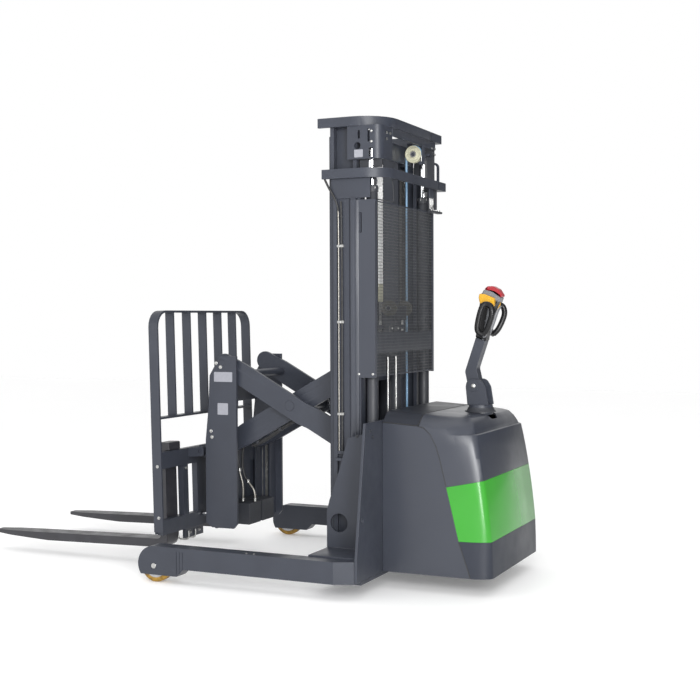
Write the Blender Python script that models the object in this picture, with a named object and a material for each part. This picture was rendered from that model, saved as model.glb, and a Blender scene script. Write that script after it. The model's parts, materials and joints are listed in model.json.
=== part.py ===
"""Walkie reach truck with a three-stage mast, a scissor reach and tilting forks.

Frame: +X towards the fork tips, +Y to the truck's left, +Z up, metres. The truck is laid
out from the front face of its mast and then shifted so that its origin is the middle of
its outline on the floor.
"""
import math

import bmesh
import bpy
from mathutils import Matrix, Vector

# Clearances
GAP = 0.0003            # between faces that touch
RUN = 0.0005            # radial, a pin in its bore
SLIDE_GAP = 0.006       # between stages that slide past each other
SMALL_PIN_R = 0.010     # tiller, chain sheaves and reach cylinder

# Legs and load wheels
LEG_OUTER_Y = 0.685
LEG_WIDTH = 0.076
LEG_TOP_Z = 0.166
LEG_BOTTOM_Z = 0.070
LEG_REAR_X = -0.264
LEG_NOSE_R = 0.083
LEG_CHAMFER = 0.045
BOX_REAR_X = 0.600
BOX_BOTTOM_Z = 0.036
LOAD_WHEEL_R = 0.0756
LOAD_WHEEL_X = 0.723
LEG_TIP_X = LOAD_WHEEL_X + LEG_NOSE_R
LOAD_WHEEL_WIDTH = 0.048
LOAD_AXLE_R = 0.012
LOAD_HUB_R = 0.052
CHEEK_GAP = 0.006

# Base and transverse plate
BASE_FRONT_X = -0.024
BASE_TOP_Z = 0.172
BASE_BOTTOM_Z = 0.075
SOLE_THICK = 0.015
PLATE_THICK = 0.012
PLATE_TOP_Z = 0.745
PLATE_TOP_HALF = 0.560
PLATE_FOOT_HALF = 0.655
GUSSET_Y = 0.415
GUSSET_THICK = 0.012
GUSSET_ARM_X = (-0.110, -0.060)
GUSSET_ARMS_Z = (0.400, 0.560)

# Power unit
HOOD_HALF = 0.378
HOOD_BOTTOM_Z = 0.077
HOOD_EDGE_Z = 0.735
HOOD_TOP_Z = 0.785
HOOD_SEAM_X = -0.445
HOOD_WALL = 0.006
HOOD_REAR_X = -0.771
BAND_LOW_Z = 0.234
BAND_HIGH_Z = 0.465
BAND_RISE = 0.200       # of its top edge, for each metre towards the rear
TOP_FALL = 0.065        # of the cover, for each metre towards the rear
TRAY_Z = 0.130
TRAY_THICK = 0.010
DECK_Z = 0.520
WEB_Y = 0.355
BATTERY_SIZE = (0.170, 0.640, 0.560)

# Steered drive
STEER_X = -0.605
DRIVE_WHEEL_R = 0.115
DRIVE_WHEEL_WIDTH = 0.075
DRIVE_AXLE_R = 0.020
MOTOR_R = 0.075
COLUMN_R = 0.032
SWEEP_R = 0.135

# Tiller
TILLER_PIVOT_X = -0.585
TILLER_PIVOT_Z = 0.885

# Mast sections: each stage is an upright of web and flanges, nested forwards and inwards
SECTION_DEPTH = 0.130
STAGE_STEP_X = 0.030
FLANGE = 0.018
WEB = 0.010
OUTER_REAR_X = -0.167
OUTER_FACE_Y = 0.360
OUTER_LIP_Y = 0.312
RIM = 0.012             # how far the outer section's flanges stand out from its web
RIM_REAR_WIDTH = 0.034
MAST_FOOT_Z = 0.085
ROLLER_Z = 0.240
MAST_TOP_Z = 2.090
OUTER_TOP_DROP = 0.232
BRACKET_DROP = 0.105
SIDE_PLATE_DROP = 0.190
TIE_HEIGHT = 0.042
TIE_THICK = 0.014
SECOND_TIE_HALF = 0.385
SECOND_TIE_REAR_X = -0.295
SECOND_TIE_FRONT_X = 0.013
TOP_TIE_HALF = 0.363
TOP_TIE_REAR_X = -0.281
TOP_TIE_FRONT_X = 0.0425
TOP_TIE_CORNER = 0.150
SECOND_TIE_CORNER = 0.105
APRON_DEPTH = 0.088
COVER_REAR_X = -0.238
COVER_LOW_Z = 0.930
COVER_TOP_DROP = 0.370
COVER_THICK = 0.004
COVER_LAP = 0.020        # over the outer upright
COVER_LIP_Y = 0.348
CROSS_BAR_Z = (1.040, 1.130)
LIFT_CYL_X = -0.203
LIFT_CYL_Y = 0.315
LIFT_CYL_R = 0.026
LIFT_ROD_R = 0.018
LIFT_WELL_Z = 0.170
FREE_CYL_X = -0.182
FREE_CYL_R = 0.026
FREE_ROD_R = 0.018
FREE_WELL_Z = 0.400
HEAD_DROP = 0.020       # how far the crosshead goes down from rest
CROSSHEAD_DROP = 0.850
INNER_TOP_DROP = 0.030  # under the top tie
INNER_HEAD_DEPTH = 0.085
SHEAVE_X = -0.192
SHEAVE_R = 0.036
CORNER_STRAP = ((-0.100, 0.3495), (-0.259, 0.3495), (-0.259, 0.225))
POST_X = (-0.232, -0.165)
HEAD_APRON_X = (-0.268, -0.258)
HEAD_APRON_DROP = 0.036
LOWER_STRAP_X = -0.220
LOWER_STRAP_Z = (0.250, 0.300)
STRAP_THICK = 0.012
PULLEY_X = -0.222
PULLEY_Y = -0.142
PULLEY_DROP = 0.114
PULLEY_R = 0.041
PULLEY_GROOVE = 0.009   # deep
CHAIN_X = (-0.1715, -0.1575)
CHAIN_Y = (0.128, 0.162)
CHAIN_LOW_Z = 1.340
CHAIN_TOP_GAP = 0.008   # under the inner stage's head
CHAIN_LINKS = 8
CHAIN_ANCHOR_Z = 1.270
CHAIN_BRACKET_Z = (1.143, 1.163)
HOSE_R = 0.006
HOSE_LOW_Z = 0.285
HOSE_TURN_STEPS = 10
HOSE_TAIL = 0.036       # below the pulley's axle, behind it

# Scissor reach
PIVOT_TOP_Z = 0.979
ARM_LENGTH = 0.812
ARM_ANGLE = math.radians(29.0)
REAR_PIVOT_X = -0.085
ARM_WIDTH = 0.108
ARM_END_R = 0.046
ARM_TAPER = 0.110
ARM_THICK = 0.018
OUTER_ARM_Y = 0.204
OUTER_ARM_REAR_Y = 0.177
INNER_ARM_Y = 0.149
MID_TUBE_R = 0.034
PIN_R = 0.018
ROLLER_R = 0.034
CHANNEL_TOP_Z = 0.650
FRAME_LOW_Z = 0.182
CARRIAGE_PLATE_Y = 0.2025
CARRIAGE_PLATE_THICK = 0.015
CARRIAGE_REAR_X = -0.150
FRONT_PLATE_Y = 0.229
FRONT_PLATE_THICK = 0.014
PLATE_BEHIND_PIVOT = 0.080

# Reach cylinder, from the rear frame up to a lug under the inner arms
REACH_FOOT = (-0.075, 0.300)
LUG_FROM_MIDDLE = 0.106
REACH_BARREL_R = 0.026
REACH_ROD_R = 0.015

# Forks and their carriage
TILT_AHEAD = 0.230
TILT_PIVOT_Z = 0.545
TILT_PIN_R = 0.011
TILT_REST = math.radians(1.4)
TILT_ROD_Y = 0.075
TILT_ROD_Z = 0.216
TILT_ROD_R = 0.014
TILT_NOSE_R = 0.008
TILT_PLAY = 0.0007
TILT_HOUSING_HALF = 0.125
FORK_Y = 0.303
FORK_WIDTH = 0.100
FORK_THICK = 0.042
FORK_LENGTH = 1.030
FORK_SHANK = 0.039
FORK_HEEL_Z = 0.1116
FORK_NOSE_RISE = 0.015
BAR_AHEAD = 0.068
BAR_DEPTH = 0.032
BAR_TOP_Z = 0.560
BACKREST_HALF = 0.445
BACKREST_TOP_Z = 1.2365
BACKREST_LOW_Z = 0.718
BACKREST_BAR = 0.050
BACKREST_THICK = 0.010
BACKREST_SETBACK = 0.038
BAR_HALF = BACKREST_HALF - BACKREST_THICK - GAP
BACKREST_SLATS = 5

# Derived places
HOOD_FRONT_X = LEG_REAR_X - PLATE_THICK - 2 * GAP
LEG_Y = LEG_OUTER_Y - LEG_WIDTH / 2
OUTER_TOP_Z = MAST_TOP_Z - OUTER_TOP_DROP
BRACKET_Z = MAST_TOP_Z - BRACKET_DROP
COVER_HIGH_Z = MAST_TOP_Z - COVER_TOP_DROP
CROSSHEAD_Z = MAST_TOP_Z - CROSSHEAD_DROP
REACH_LUG_RUN = ARM_LENGTH / 2 - LUG_FROM_MIDDLE
FRONT_PIVOT_X = REAR_PIVOT_X + ARM_LENGTH * math.cos(ARM_ANGLE)
FRONT_PLATE_REAR_X = FRONT_PIVOT_X - PLATE_BEHIND_PIVOT
TILT_PIVOT = (FRONT_PLATE_REAR_X + TILT_AHEAD, TILT_PIVOT_Z)
BAR_REAR_X = TILT_PIVOT[0] + BAR_AHEAD
FORK_FACE_X = BAR_REAR_X + BAR_DEPTH + FORK_SHANK
MID_X = (REAR_PIVOT_X + FRONT_PIVOT_X) / 2
PIVOT_LOW_Z = PIVOT_TOP_Z - ARM_LENGTH * math.sin(ARM_ANGLE)
MID_Z = (PIVOT_TOP_Z + PIVOT_LOW_Z) / 2
LUG_X = REAR_PIVOT_X + REACH_LUG_RUN * math.cos(ARM_ANGLE)
LUG_Z = PIVOT_TOP_Z - REACH_LUG_RUN * math.sin(ARM_ANGLE)
FORK_TIP_X = FORK_FACE_X + FORK_LENGTH
FORK_NOSE_Z = FORK_HEEL_Z + FORK_NOSE_RISE
LEANED_TIP_X = (
    TILT_PIVOT[0] + (FORK_TIP_X - TILT_PIVOT[0]) * math.cos(TILT_REST)
    - (TILT_PIVOT[1] - FORK_NOSE_Z) * math.sin(TILT_REST)
)
ORIGIN_X = -(HOOD_REAR_X + LEANED_TIP_X) / 2

# Each body's joint: name, parent body, place of the joint on the truck
BODIES = (
    ("truck", None, (0, 0, 0)),
    ("middle_stage", "truck", (0, 0, 0)),
    ("inner_stage", "middle_stage", (0, 0, 0)),
    ("crosshead", "inner_stage", (0, 0, 0)),
    ("carriage", "inner_stage", (0, 0, 0)),
    ("inner_arms", "carriage", (REAR_PIVOT_X, 0, PIVOT_TOP_Z)),
    ("outer_arms", "inner_arms", (MID_X, 0, MID_Z)),
    ("reach_head", "outer_arms", (FRONT_PIVOT_X, 0, PIVOT_TOP_Z)),
    ("reach_barrel", "carriage", (REACH_FOOT[0], 0, REACH_FOOT[1])),
    ("reach_rod", "reach_barrel", (REACH_FOOT[0], 0, REACH_FOOT[1])),
    ("tilt_rods", "reach_head", (TILT_PIVOT[0], 0, TILT_PIVOT[1])),
    ("forks", "reach_head", (TILT_PIVOT[0], 0, TILT_PIVOT[1])),
    ("steering", "truck", (STEER_X, 0, 0)),
    ("drive_wheel", "steering", (STEER_X, 0, DRIVE_WHEEL_R)),
    ("tiller", "steering", (TILLER_PIVOT_X, 0, TILLER_PIVOT_Z)),
    ("load_wheel_left", "truck", (LOAD_WHEEL_X, LEG_Y, LOAD_WHEEL_R)),
    ("load_wheel_right", "truck", (LOAD_WHEEL_X, -LEG_Y, LOAD_WHEEL_R)),
)

# Finish: colour, roughness, metallic
FINISHES = {
    "graphite": ((0.060, 0.068, 0.086), 0.42, 0.0),
    "dark_paint": ((0.030, 0.032, 0.038), 0.50, 0.0),
    "green": ((0.045, 0.480, 0.035), 0.25, 0.0),
    "fork_black": ((0.020, 0.020, 0.024), 0.45, 0.0),
    "chrome": ((0.75, 0.76, 0.78), 0.12, 1.0),
    "steel": ((0.45, 0.45, 0.46), 0.35, 1.0),
    "polyurethane": ((0.640, 0.330, 0.020), 0.40, 0.0),
    "rubber": ((0.018, 0.018, 0.018), 0.70, 0.0),
    "black_plastic": ((0.012, 0.012, 0.013), 0.38, 0.0),
    "yellow_plastic": ((0.780, 0.430, 0.010), 0.35, 0.0),
    "red_plastic": ((0.560, 0.012, 0.015), 0.35, 0.0),
    "cream_plastic": ((0.740, 0.720, 0.560), 0.45, 0.0),
}


# Scene and tree of bodies

def clear_scene():
    for old in list(bpy.data.objects):
        bpy.data.objects.remove(old, do_unlink=True)


def make_bodies():
    """An empty on each body's joint; the forks' empty carries their forward lean."""
    empties = {}
    places = {}
    for name, parent, place in BODIES:
        empty = bpy.data.objects.new("at_" + name, None)
        bpy.context.scene.collection.objects.link(empty)
        places[name] = Vector(place)
        if parent:
            empty.parent = empties[parent]
            empty.location = places[name] - places[parent]
        else:
            empty.location = (ORIGIN_X, 0, 0)
        empties[name] = empty
    empties["forks"].rotation_euler = (0, TILT_REST, 0)
    return empties, places


def make_materials():
    made = {}
    for name, (colour, roughness, metallic) in FINISHES.items():
        material = bpy.data.materials.new(name)
        material.use_nodes = True
        shader = material.node_tree.nodes["Principled BSDF"]
        shader.inputs["Base Color"].default_value = (*colour, 1.0)
        shader.inputs["Roughness"].default_value = roughness
        shader.inputs["Metallic"].default_value = metallic
        material.diffuse_color = (*colour, 1.0)
        made[name] = material
    return made


# Shapes: each returns one closed mesh in the truck's layout frame

def to_object(bm):
    bmesh.ops.recalc_face_normals(bm, faces=bm.faces)
    mesh = bpy.data.meshes.new("shape")
    bm.to_mesh(mesh)
    bm.free()
    shape = bpy.data.objects.new("shape", mesh)
    bpy.context.scene.collection.objects.link(shape)
    return shape


def prism(outline, plane, low, high):
    """An outline in plane XZ, XY or YZ, extruded along the third axis from low to high."""
    lay = {
        "XZ": lambda a, b, c: (a, c, b),
        "XY": lambda a, b, c: (a, b, c),
        "YZ": lambda a, b, c: (c, a, b),
    }[plane]
    bm = bmesh.new()
    bottom = [bm.verts.new(lay(a, b, low)) for a, b in outline]
    top = [bm.verts.new(lay(a, b, high)) for a, b in outline]
    bm.faces.new(bottom)
    bm.faces.new(top)
    count = len(outline)
    for i in range(count):
        j = (i + 1) % count
        bm.faces.new((bottom[i], bottom[j], top[j], top[i]))
    return to_object(bm)


def block(x, y, z):
    """A box from three (low, high) pairs."""
    return prism(((x[0], z[0]), (x[1], z[0]), (x[1], z[1]), (x[0], z[1])), "XZ", y[0], y[1])


def ring(radius, sides, centre=(0.0, 0.0), start=0.0, turn=2 * math.pi):
    full = abs(turn - 2 * math.pi) < 1e-9
    count = sides if full else sides + 1
    step = turn / sides
    return [
        (centre[0] + radius * math.cos(start + i * step), centre[1] + radius * math.sin(start + i * step))
        for i in range(count)
    ]


def rod(axis, centre, radius, low, high, sides=16):
    """A round bar along an axis; centre is its place in the plane across that axis."""
    plane = {"X": "YZ", "Y": "XZ", "Z": "XY"}[axis]
    return prism(ring(radius, sides, centre), plane, low, high)


def turned(axis, centre, profile, sides=20):
    """A body of revolution: profile is (place along the axis, radius), end to end."""
    lay = {
        "X": lambda s, a, b: (s, centre[0] + a, centre[1] + b),
        "Y": lambda s, a, b: (centre[0] + a, s, centre[1] + b),
        "Z": lambda s, a, b: (centre[0] + a, centre[1] + b, s),
    }[axis]
    bm = bmesh.new()
    rings = []
    for place, radius in profile:
        rings.append([bm.verts.new(lay(place, a, b)) for a, b in ring(radius, sides)])
    for first, second in zip(rings, rings[1:]):
        for i in range(sides):
            j = (i + 1) % sides
            bm.faces.new((first[i], first[j], second[j], second[i]))
    bm.faces.new(rings[0])
    bm.faces.new(rings[-1])
    return to_object(bm)


def arc_between(centre, first, last, steps):
    """Points along an arc, from its centre and the arms to its two ends."""
    sweep = first.angle(last)
    points = []
    for k in range(steps + 1):
        share = k / steps
        spot = first * math.sin((1 - share) * sweep) + last * math.sin(share * sweep)
        points.append(centre + spot / math.sin(sweep))
    return points


def rounded(points, radii, steps=5):
    """A closed outline whose corners are arcs of the given radii."""
    out = []
    count = len(points)
    for i, (point, radius) in enumerate(zip(points, radii)):
        here = Vector(point)
        before = (Vector(points[i - 1]) - here).normalized()
        after = (Vector(points[(i + 1) % count]) - here).normalized()
        if radius <= 0:
            out.append(tuple(here))
            continue
        half = before.angle(after) / 2
        run = radius / math.tan(half)
        centre = here + (before + after).normalized() * radius / math.sin(half)
        arc = arc_between(centre, here + before * run - centre, here + after * run - centre, steps)
        out += [tuple(spot) for spot in arc]
    return out


def strap(path, thick, low, high, corner, steps=6):
    """A flat bar on edge that follows an open path in plan, bent round its inner points."""
    line = [Vector(p) for p in path]
    spine = [line[0]]
    for i in range(1, len(line) - 1):
        before = (line[i - 1] - line[i]).normalized()
        after = (line[i + 1] - line[i]).normalized()
        half = before.angle(after) / 2
        run = corner / math.tan(half)
        centre = line[i] + (before + after).normalized() * corner / math.sin(half)
        spine += arc_between(centre, line[i] + before * run - centre, line[i] + after * run - centre, steps)
    spine.append(line[-1])
    left = []
    right = []
    for i, point in enumerate(spine):
        ahead = spine[min(i + 1, len(spine) - 1)] - spine[max(i - 1, 0)]
        side = Vector((-ahead.y, ahead.x)).normalized() * thick / 2
        left.append(tuple(point + side))
        right.append(tuple(point - side))
    return prism(left + right[::-1], "XY", low, high)


def combine(base, others, operation):
    """Booleans on a base mesh, applied; the tools are used up."""
    for other in others:
        modifier = base.modifiers.new(operation.lower(), "BOOLEAN")
        modifier.operation = operation
        modifier.solver = "EXACT"
        modifier.object = other
    bpy.context.view_layer.update()
    graph = bpy.context.evaluated_depsgraph_get()
    mesh = bpy.data.meshes.new_from_object(base.evaluated_get(graph))
    base.modifiers.clear()
    base.data = mesh
    for other in others:
        bpy.data.objects.remove(other, do_unlink=True)
    return base


def union(*shapes):
    return combine(shapes[0], shapes[1:], "UNION")


def cut(base, *tools):
    return combine(base, tools, "DIFFERENCE")


def common(base, tool):
    return combine(base, (tool,), "INTERSECT")


def copy_of(shape):
    twin = bpy.data.objects.new("shape", shape.data.copy())
    bpy.context.scene.collection.objects.link(twin)
    return twin


def mirrored(shape):
    """The same shape on the truck's other side."""
    twin = copy_of(shape)
    twin.data.transform(Matrix.Scale(-1, 4, (0, 1, 0)))
    twin.data.flip_normals()
    return twin


def turned_about_y(shape, angle, pivot):
    """Turn a shape about an axis along Y through pivot (x, z)."""
    place = Matrix.Translation((pivot[0], 0, pivot[1]))
    shape.data.transform(place @ Matrix.Rotation(angle, 4, "Y") @ place.inverted())
    return shape


class Truck:
    """Names the finished shapes and hangs each on its body."""

    def __init__(self):
        self.empties, self.places = make_bodies()
        self.materials = make_materials()

    def add(self, name, body, finish, shape, smooth=35.0):
        shape.name = name
        shape.data.name = name
        shape.data.transform(Matrix.Translation(-self.places[body]))
        shape.parent = self.empties[body]
        shape.data.materials.clear()
        shape.data.materials.append(self.materials[finish])
        shape.data.shade_smooth()
        shape.data.set_sharp_from_angle(angle=math.radians(smooth))

    def add_pair(self, name, body, finish, shape):
        """A left piece and its mirror image on the right, on one body."""
        twin = mirrored(shape)
        self.add(name + "_left", body, finish, shape)
        self.add(name + "_right", body, finish, twin)


# Chassis

def add_legs(truck):
    centre_z = LEG_TOP_Z - LEG_NOSE_R
    start = math.asin((BOX_BOTTOM_Z - centre_z) / LEG_NOSE_R)
    nose = ring(LEG_NOSE_R, 14, (LOAD_WHEEL_X, centre_z), start, math.pi / 2 - start)
    outline = (
        (LEG_REAR_X, LEG_BOTTOM_Z),
        (BOX_REAR_X - 0.035, LEG_BOTTOM_Z),
        (BOX_REAR_X, BOX_BOTTOM_Z),
    ) + tuple(nose) + ((LEG_REAR_X, LEG_TOP_Z),)
    leg = prism(outline, "XZ", LEG_OUTER_Y - LEG_WIDTH, LEG_OUTER_Y)
    reach = 0.02
    corner = prism(
        (
            (LEG_REAR_X - reach, LEG_OUTER_Y + reach),
            (LEG_REAR_X - reach, LEG_OUTER_Y - LEG_CHAMFER * 0.8 - reach * 0.5),
            (LEG_REAR_X + LEG_CHAMFER * 2 + reach * 2, LEG_OUTER_Y + reach),
        ),
        "XY", 0.0, LEG_TOP_Z + reach,
    )
    pocket_half = LOAD_WHEEL_WIDTH / 2 + CHEEK_GAP
    pocket = block(
        (LOAD_WHEEL_X - LOAD_WHEEL_R - 0.008, LEG_TIP_X + reach),
        (LEG_Y - pocket_half, LEG_Y + pocket_half),
        (0.0, LOAD_WHEEL_R * 2 + 0.006),
    )
    leg = cut(leg, corner, pocket)
    axle = rod(
        "Y", (LOAD_WHEEL_X, LOAD_WHEEL_R), LOAD_AXLE_R,
        LEG_Y - pocket_half - 0.002, LEG_Y + pocket_half + 0.002,
    )
    leg = union(leg, axle)
    truck.add_pair("leg", "truck", "graphite", leg)


def add_load_wheels(truck):
    half = LOAD_WHEEL_WIDTH / 2
    edge = 0.006
    for side, sign in (("left", 1), ("right", -1)):
        middle = sign * LEG_Y
        centre = (LOAD_WHEEL_X, LOAD_WHEEL_R)
        wheel = turned("Y", centre, (
            (middle - half + 0.003, LOAD_HUB_R - 0.010), (middle - half + 0.003, LOAD_HUB_R - 0.001),
            (middle - half, LOAD_HUB_R), (middle - half, LOAD_WHEEL_R - edge),
            (middle - half + edge, LOAD_WHEEL_R), (middle + half - edge, LOAD_WHEEL_R),
            (middle + half, LOAD_WHEEL_R - edge), (middle + half, LOAD_HUB_R),
            (middle + half - 0.003, LOAD_HUB_R - 0.001), (middle + half - 0.003, LOAD_HUB_R - 0.010),
        ), 24)
        bore = rod("Y", centre, LOAD_AXLE_R + RUN, middle - half - 0.01, middle + half + 0.01)
        truck.add("load_tyre_" + side, "load_wheel_" + side, "polyurethane", cut(wheel, bore))


def add_base(truck):
    """The cross structure that ties the legs, the mast and the power unit together."""
    inner_leg_y = LEG_OUTER_Y - LEG_WIDTH
    outline = (
        (-PLATE_FOOT_HALF, BASE_BOTTOM_Z), (PLATE_FOOT_HALF, BASE_BOTTOM_Z),
        (PLATE_FOOT_HALF, BASE_TOP_Z), (PLATE_TOP_HALF, PLATE_TOP_Z),
        (-PLATE_TOP_HALF, PLATE_TOP_Z), (-PLATE_FOOT_HALF, BASE_TOP_Z),
    )
    rear_x = LEG_REAR_X - GAP - PLATE_THICK
    plate = prism(outline, "YZ", rear_x, rear_x + PLATE_THICK)
    sole = block(
        (rear_x + 0.001, BASE_FRONT_X), (-inner_leg_y + GAP, inner_leg_y - GAP),
        (BASE_BOTTOM_Z - SOLE_THICK, BASE_BOTTOM_Z),
    )
    boxes = []
    for sign in (1, -1):
        ends = sorted((sign * (OUTER_FACE_Y + GAP), sign * (inner_leg_y - GAP)))
        boxes.append(block((rear_x + 0.001, BASE_FRONT_X), ends, (BASE_BOTTOM_Z - 0.001, BASE_TOP_Z)))
    truck.add("base_frame", "truck", "graphite", union(plate, sole, *boxes))


def add_gussets(truck):
    front = BASE_FRONT_X
    rear = LEG_REAR_X
    outline = (
        (rear, BASE_TOP_Z + GAP), (front, BASE_TOP_Z + GAP), (front, 0.335), (front - 0.013, 0.385),
        (front - 0.055, 0.500), (front - 0.105, 0.665), (rear, 0.700),
    )
    plate = prism(outline, "XZ", GUSSET_Y - GUSSET_THICK / 2, GUSSET_Y + GUSSET_THICK / 2)
    hole = rod("Y", (front - 0.060, 0.285), 0.042, GUSSET_Y - 0.05, GUSSET_Y + 0.05, 20)
    plate = cut(plate, hole)
    arms = []
    for z in GUSSET_ARMS_Z:
        arms.append(block(
            GUSSET_ARM_X, (OUTER_FACE_Y + GAP, GUSSET_Y - GUSSET_THICK / 2 + 0.001), (z, z + GUSSET_THICK),
        ))
    truck.add_pair("mast_gusset", "truck", "graphite", union(plate, *arms))


# Rings of the power unit's outer skin: height, half width, start of the corner on the
# side, rear face, half width where the corner meets the rear face
HOOD_RINGS = (
    (HOOD_BOTTOM_Z, 0.378, -0.684, -0.771, 0.326),
    (0.160, 0.378, -0.656, -0.770, 0.328),
    (0.240, 0.378, -0.629, -0.767, 0.330),
    (0.310, 0.378, -0.612, -0.760, 0.331),
    (0.390, 0.378, -0.592, -0.750, 0.332),
    (0.465, 0.378, -0.574, -0.739, 0.332),
    (0.530, 0.378, -0.558, -0.729, 0.330),
    (0.590, 0.378, -0.543, -0.719, 0.327),
    (0.640, 0.378, -0.527, -0.710, 0.322),
    (0.690, 0.378, -0.501, -0.701, 0.315),
    (0.720, 0.378, -0.470, -0.692, 0.306),
    (HOOD_EDGE_Z, 0.378, -0.448, -0.686, 0.299),
    (0.758, 0.352, -0.440, -0.674, 0.284),
    (HOOD_TOP_Z - 0.006, 0.322, -0.430, -0.657, 0.262),
    (HOOD_TOP_Z, 0.296, -0.420, -0.638, 0.242),
)
FALLING_RINGS = 5       # the top ones, which slope down to the rear
CORNER_STEPS = 6


def hood_ring(half, corner_x, rear_x, rear_y, front_x, inset):
    """Half the skin's plan at one height, from the front along the side to the rear's middle."""
    start = Vector((corner_x, half - inset))
    end = Vector((rear_x + inset, rear_y))
    pull_side = Vector((corner_x + (rear_x - corner_x) * 0.55, half - inset - (half - rear_y) * 0.10))
    pull_rear = Vector((rear_x + inset, rear_y + (half - rear_y) * 0.55))
    points = [Vector((front_x, half - inset))]
    for k in range(CORNER_STEPS + 1):
        t = k / CORNER_STEPS
        points.append(
            start * (1 - t) ** 3 + pull_side * 3 * t * (1 - t) ** 2
            + pull_rear * 3 * t ** 2 * (1 - t) + end * t ** 3
        )
    return points


def hood_solid(inset, front_x, low_drop):
    """The power unit's outline as one closed loft, inset from the skin."""
    bm = bmesh.new()
    loops = []
    for index, (z, half, corner_x, rear_x, rear_y) in enumerate(HOOD_RINGS):
        level = z
        fall = 0.0
        if index == 0:
            level = z - low_drop
        if index >= len(HOOD_RINGS) - 4:
            level = z - inset
        if index >= len(HOOD_RINGS) - FALLING_RINGS:
            fall = TOP_FALL
        near = hood_ring(half, corner_x, rear_x, rear_y, front_x, inset)
        loop = [bm.verts.new((p.x, p.y, level + fall * (p.x - front_x))) for p in near]
        loop += [bm.verts.new((p.x, -p.y, level + fall * (p.x - front_x))) for p in reversed(near)]
        loops.append(loop)
    for low, high in zip(loops, loops[1:]):
        count = len(low)
        for i in range(count):
            j = (i + 1) % count
            bm.faces.new((low[i], low[j], high[j], high[i]))
    bm.faces.new(loops[0])
    bm.faces.new(loops[-1])
    bmesh.ops.triangulate(bm, faces=bm.faces)
    return to_object(bm)


def shoulder_z(x):
    """Height of the crease between the covers' sides and top."""
    return HOOD_EDGE_Z + TOP_FALL * (x - HOOD_FRONT_X)


def seam_line(shift):
    """The edge of the side panel, bottom to top, moved along X."""
    crease = [ring[0] for ring in HOOD_RINGS].index(HOOD_EDGE_Z)
    line = [(ring[2] + shift, ring[0]) for ring in HOOD_RINGS[:crease]]
    corner_x = HOOD_RINGS[crease][2]
    line.append((corner_x + shift, shoulder_z(corner_x)))
    return line


def add_hood(truck):
    outer = hood_solid(0.0, HOOD_FRONT_X, 0.0)
    inner = hood_solid(HOOD_WALL, HOOD_FRONT_X + 0.02, 0.02)
    shell = cut(outer, inner)
    wide = HOOD_HALF + 0.05
    far_x = HOOD_REAR_X - 0.05
    above = HOOD_TOP_Z + 0.02
    line = seam_line(0.0)
    shoulder = line[-1]

    def between(low, high):
        return [p for p in line if low < p[1] < high]

    def edge_x(z):
        for (x0, z0), (x1, z1) in zip(line, line[1:]):
            if z0 <= z <= z1:
                return x0 + (x1 - x0) * (z - z0) / (z1 - z0)
        return line[-1][0]

    def risen(z):
        """Height at far_x of the band's top edge, which starts at z on the seam."""
        return z + BAND_RISE * (edge_x(z) - far_x)

    def slab(low, high, far_high):
        side = [(edge_x(low), low)] + between(low, high) + [(edge_x(high), high)]
        return prism([(far_x, low)] + side + [(far_x, far_high)], "XZ", -wide, wide)

    skirt_top = BAND_LOW_Z - GAP
    skirt = common(copy_of(shell), slab(HOOD_BOTTOM_Z - 0.001, skirt_top, skirt_top))
    band = common(copy_of(shell), slab(BAND_LOW_Z, BAND_HIGH_Z, risen(BAND_HIGH_Z)))
    cover_low = BAND_HIGH_Z + GAP
    cap = prism(
        [(far_x, risen(cover_low)), (edge_x(cover_low), cover_low)] + between(cover_low, shoulder[1])
        + [shoulder, (HOOD_SEAM_X - GAP, shoulder[1] + 0.004), (HOOD_SEAM_X - GAP, above), (far_x, above)],
        "XZ", -wide, wide,
    )
    rear = common(copy_of(shell), cap)
    well = rod("Z", (STEER_X, 0), 0.075, HOOD_TOP_Z - 0.05, HOOD_TOP_Z + 0.05, 28)
    rear = cut(rear, well)
    lid = prism(
        (
            (HOOD_SEAM_X, shoulder_z(HOOD_SEAM_X) + GAP), (HOOD_FRONT_X + 0.001, HOOD_EDGE_Z + GAP),
            (HOOD_FRONT_X + 0.001, above), (HOOD_SEAM_X, above),
        ),
        "XZ", -wide, wide,
    )
    front = common(shell, lid)
    truck.add("rear_skirt", "truck", "graphite", skirt)
    truck.add("green_band", "truck", "green", band)
    truck.add("rear_cover", "truck", "graphite", rear)
    truck.add("top_cover", "truck", "graphite", front)
    panel_line = seam_line(GAP)
    outline = [(HOOD_FRONT_X, HOOD_BOTTOM_Z)] + panel_line[:-1]
    outline += [(panel_line[-1][0], panel_line[-1][1] - GAP), (HOOD_FRONT_X, HOOD_EDGE_Z - GAP)]
    panel = prism(outline, "XZ", HOOD_HALF - HOOD_WALL, HOOD_HALF)
    truck.add_pair("side_panel", "truck", "graphite", panel)


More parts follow.
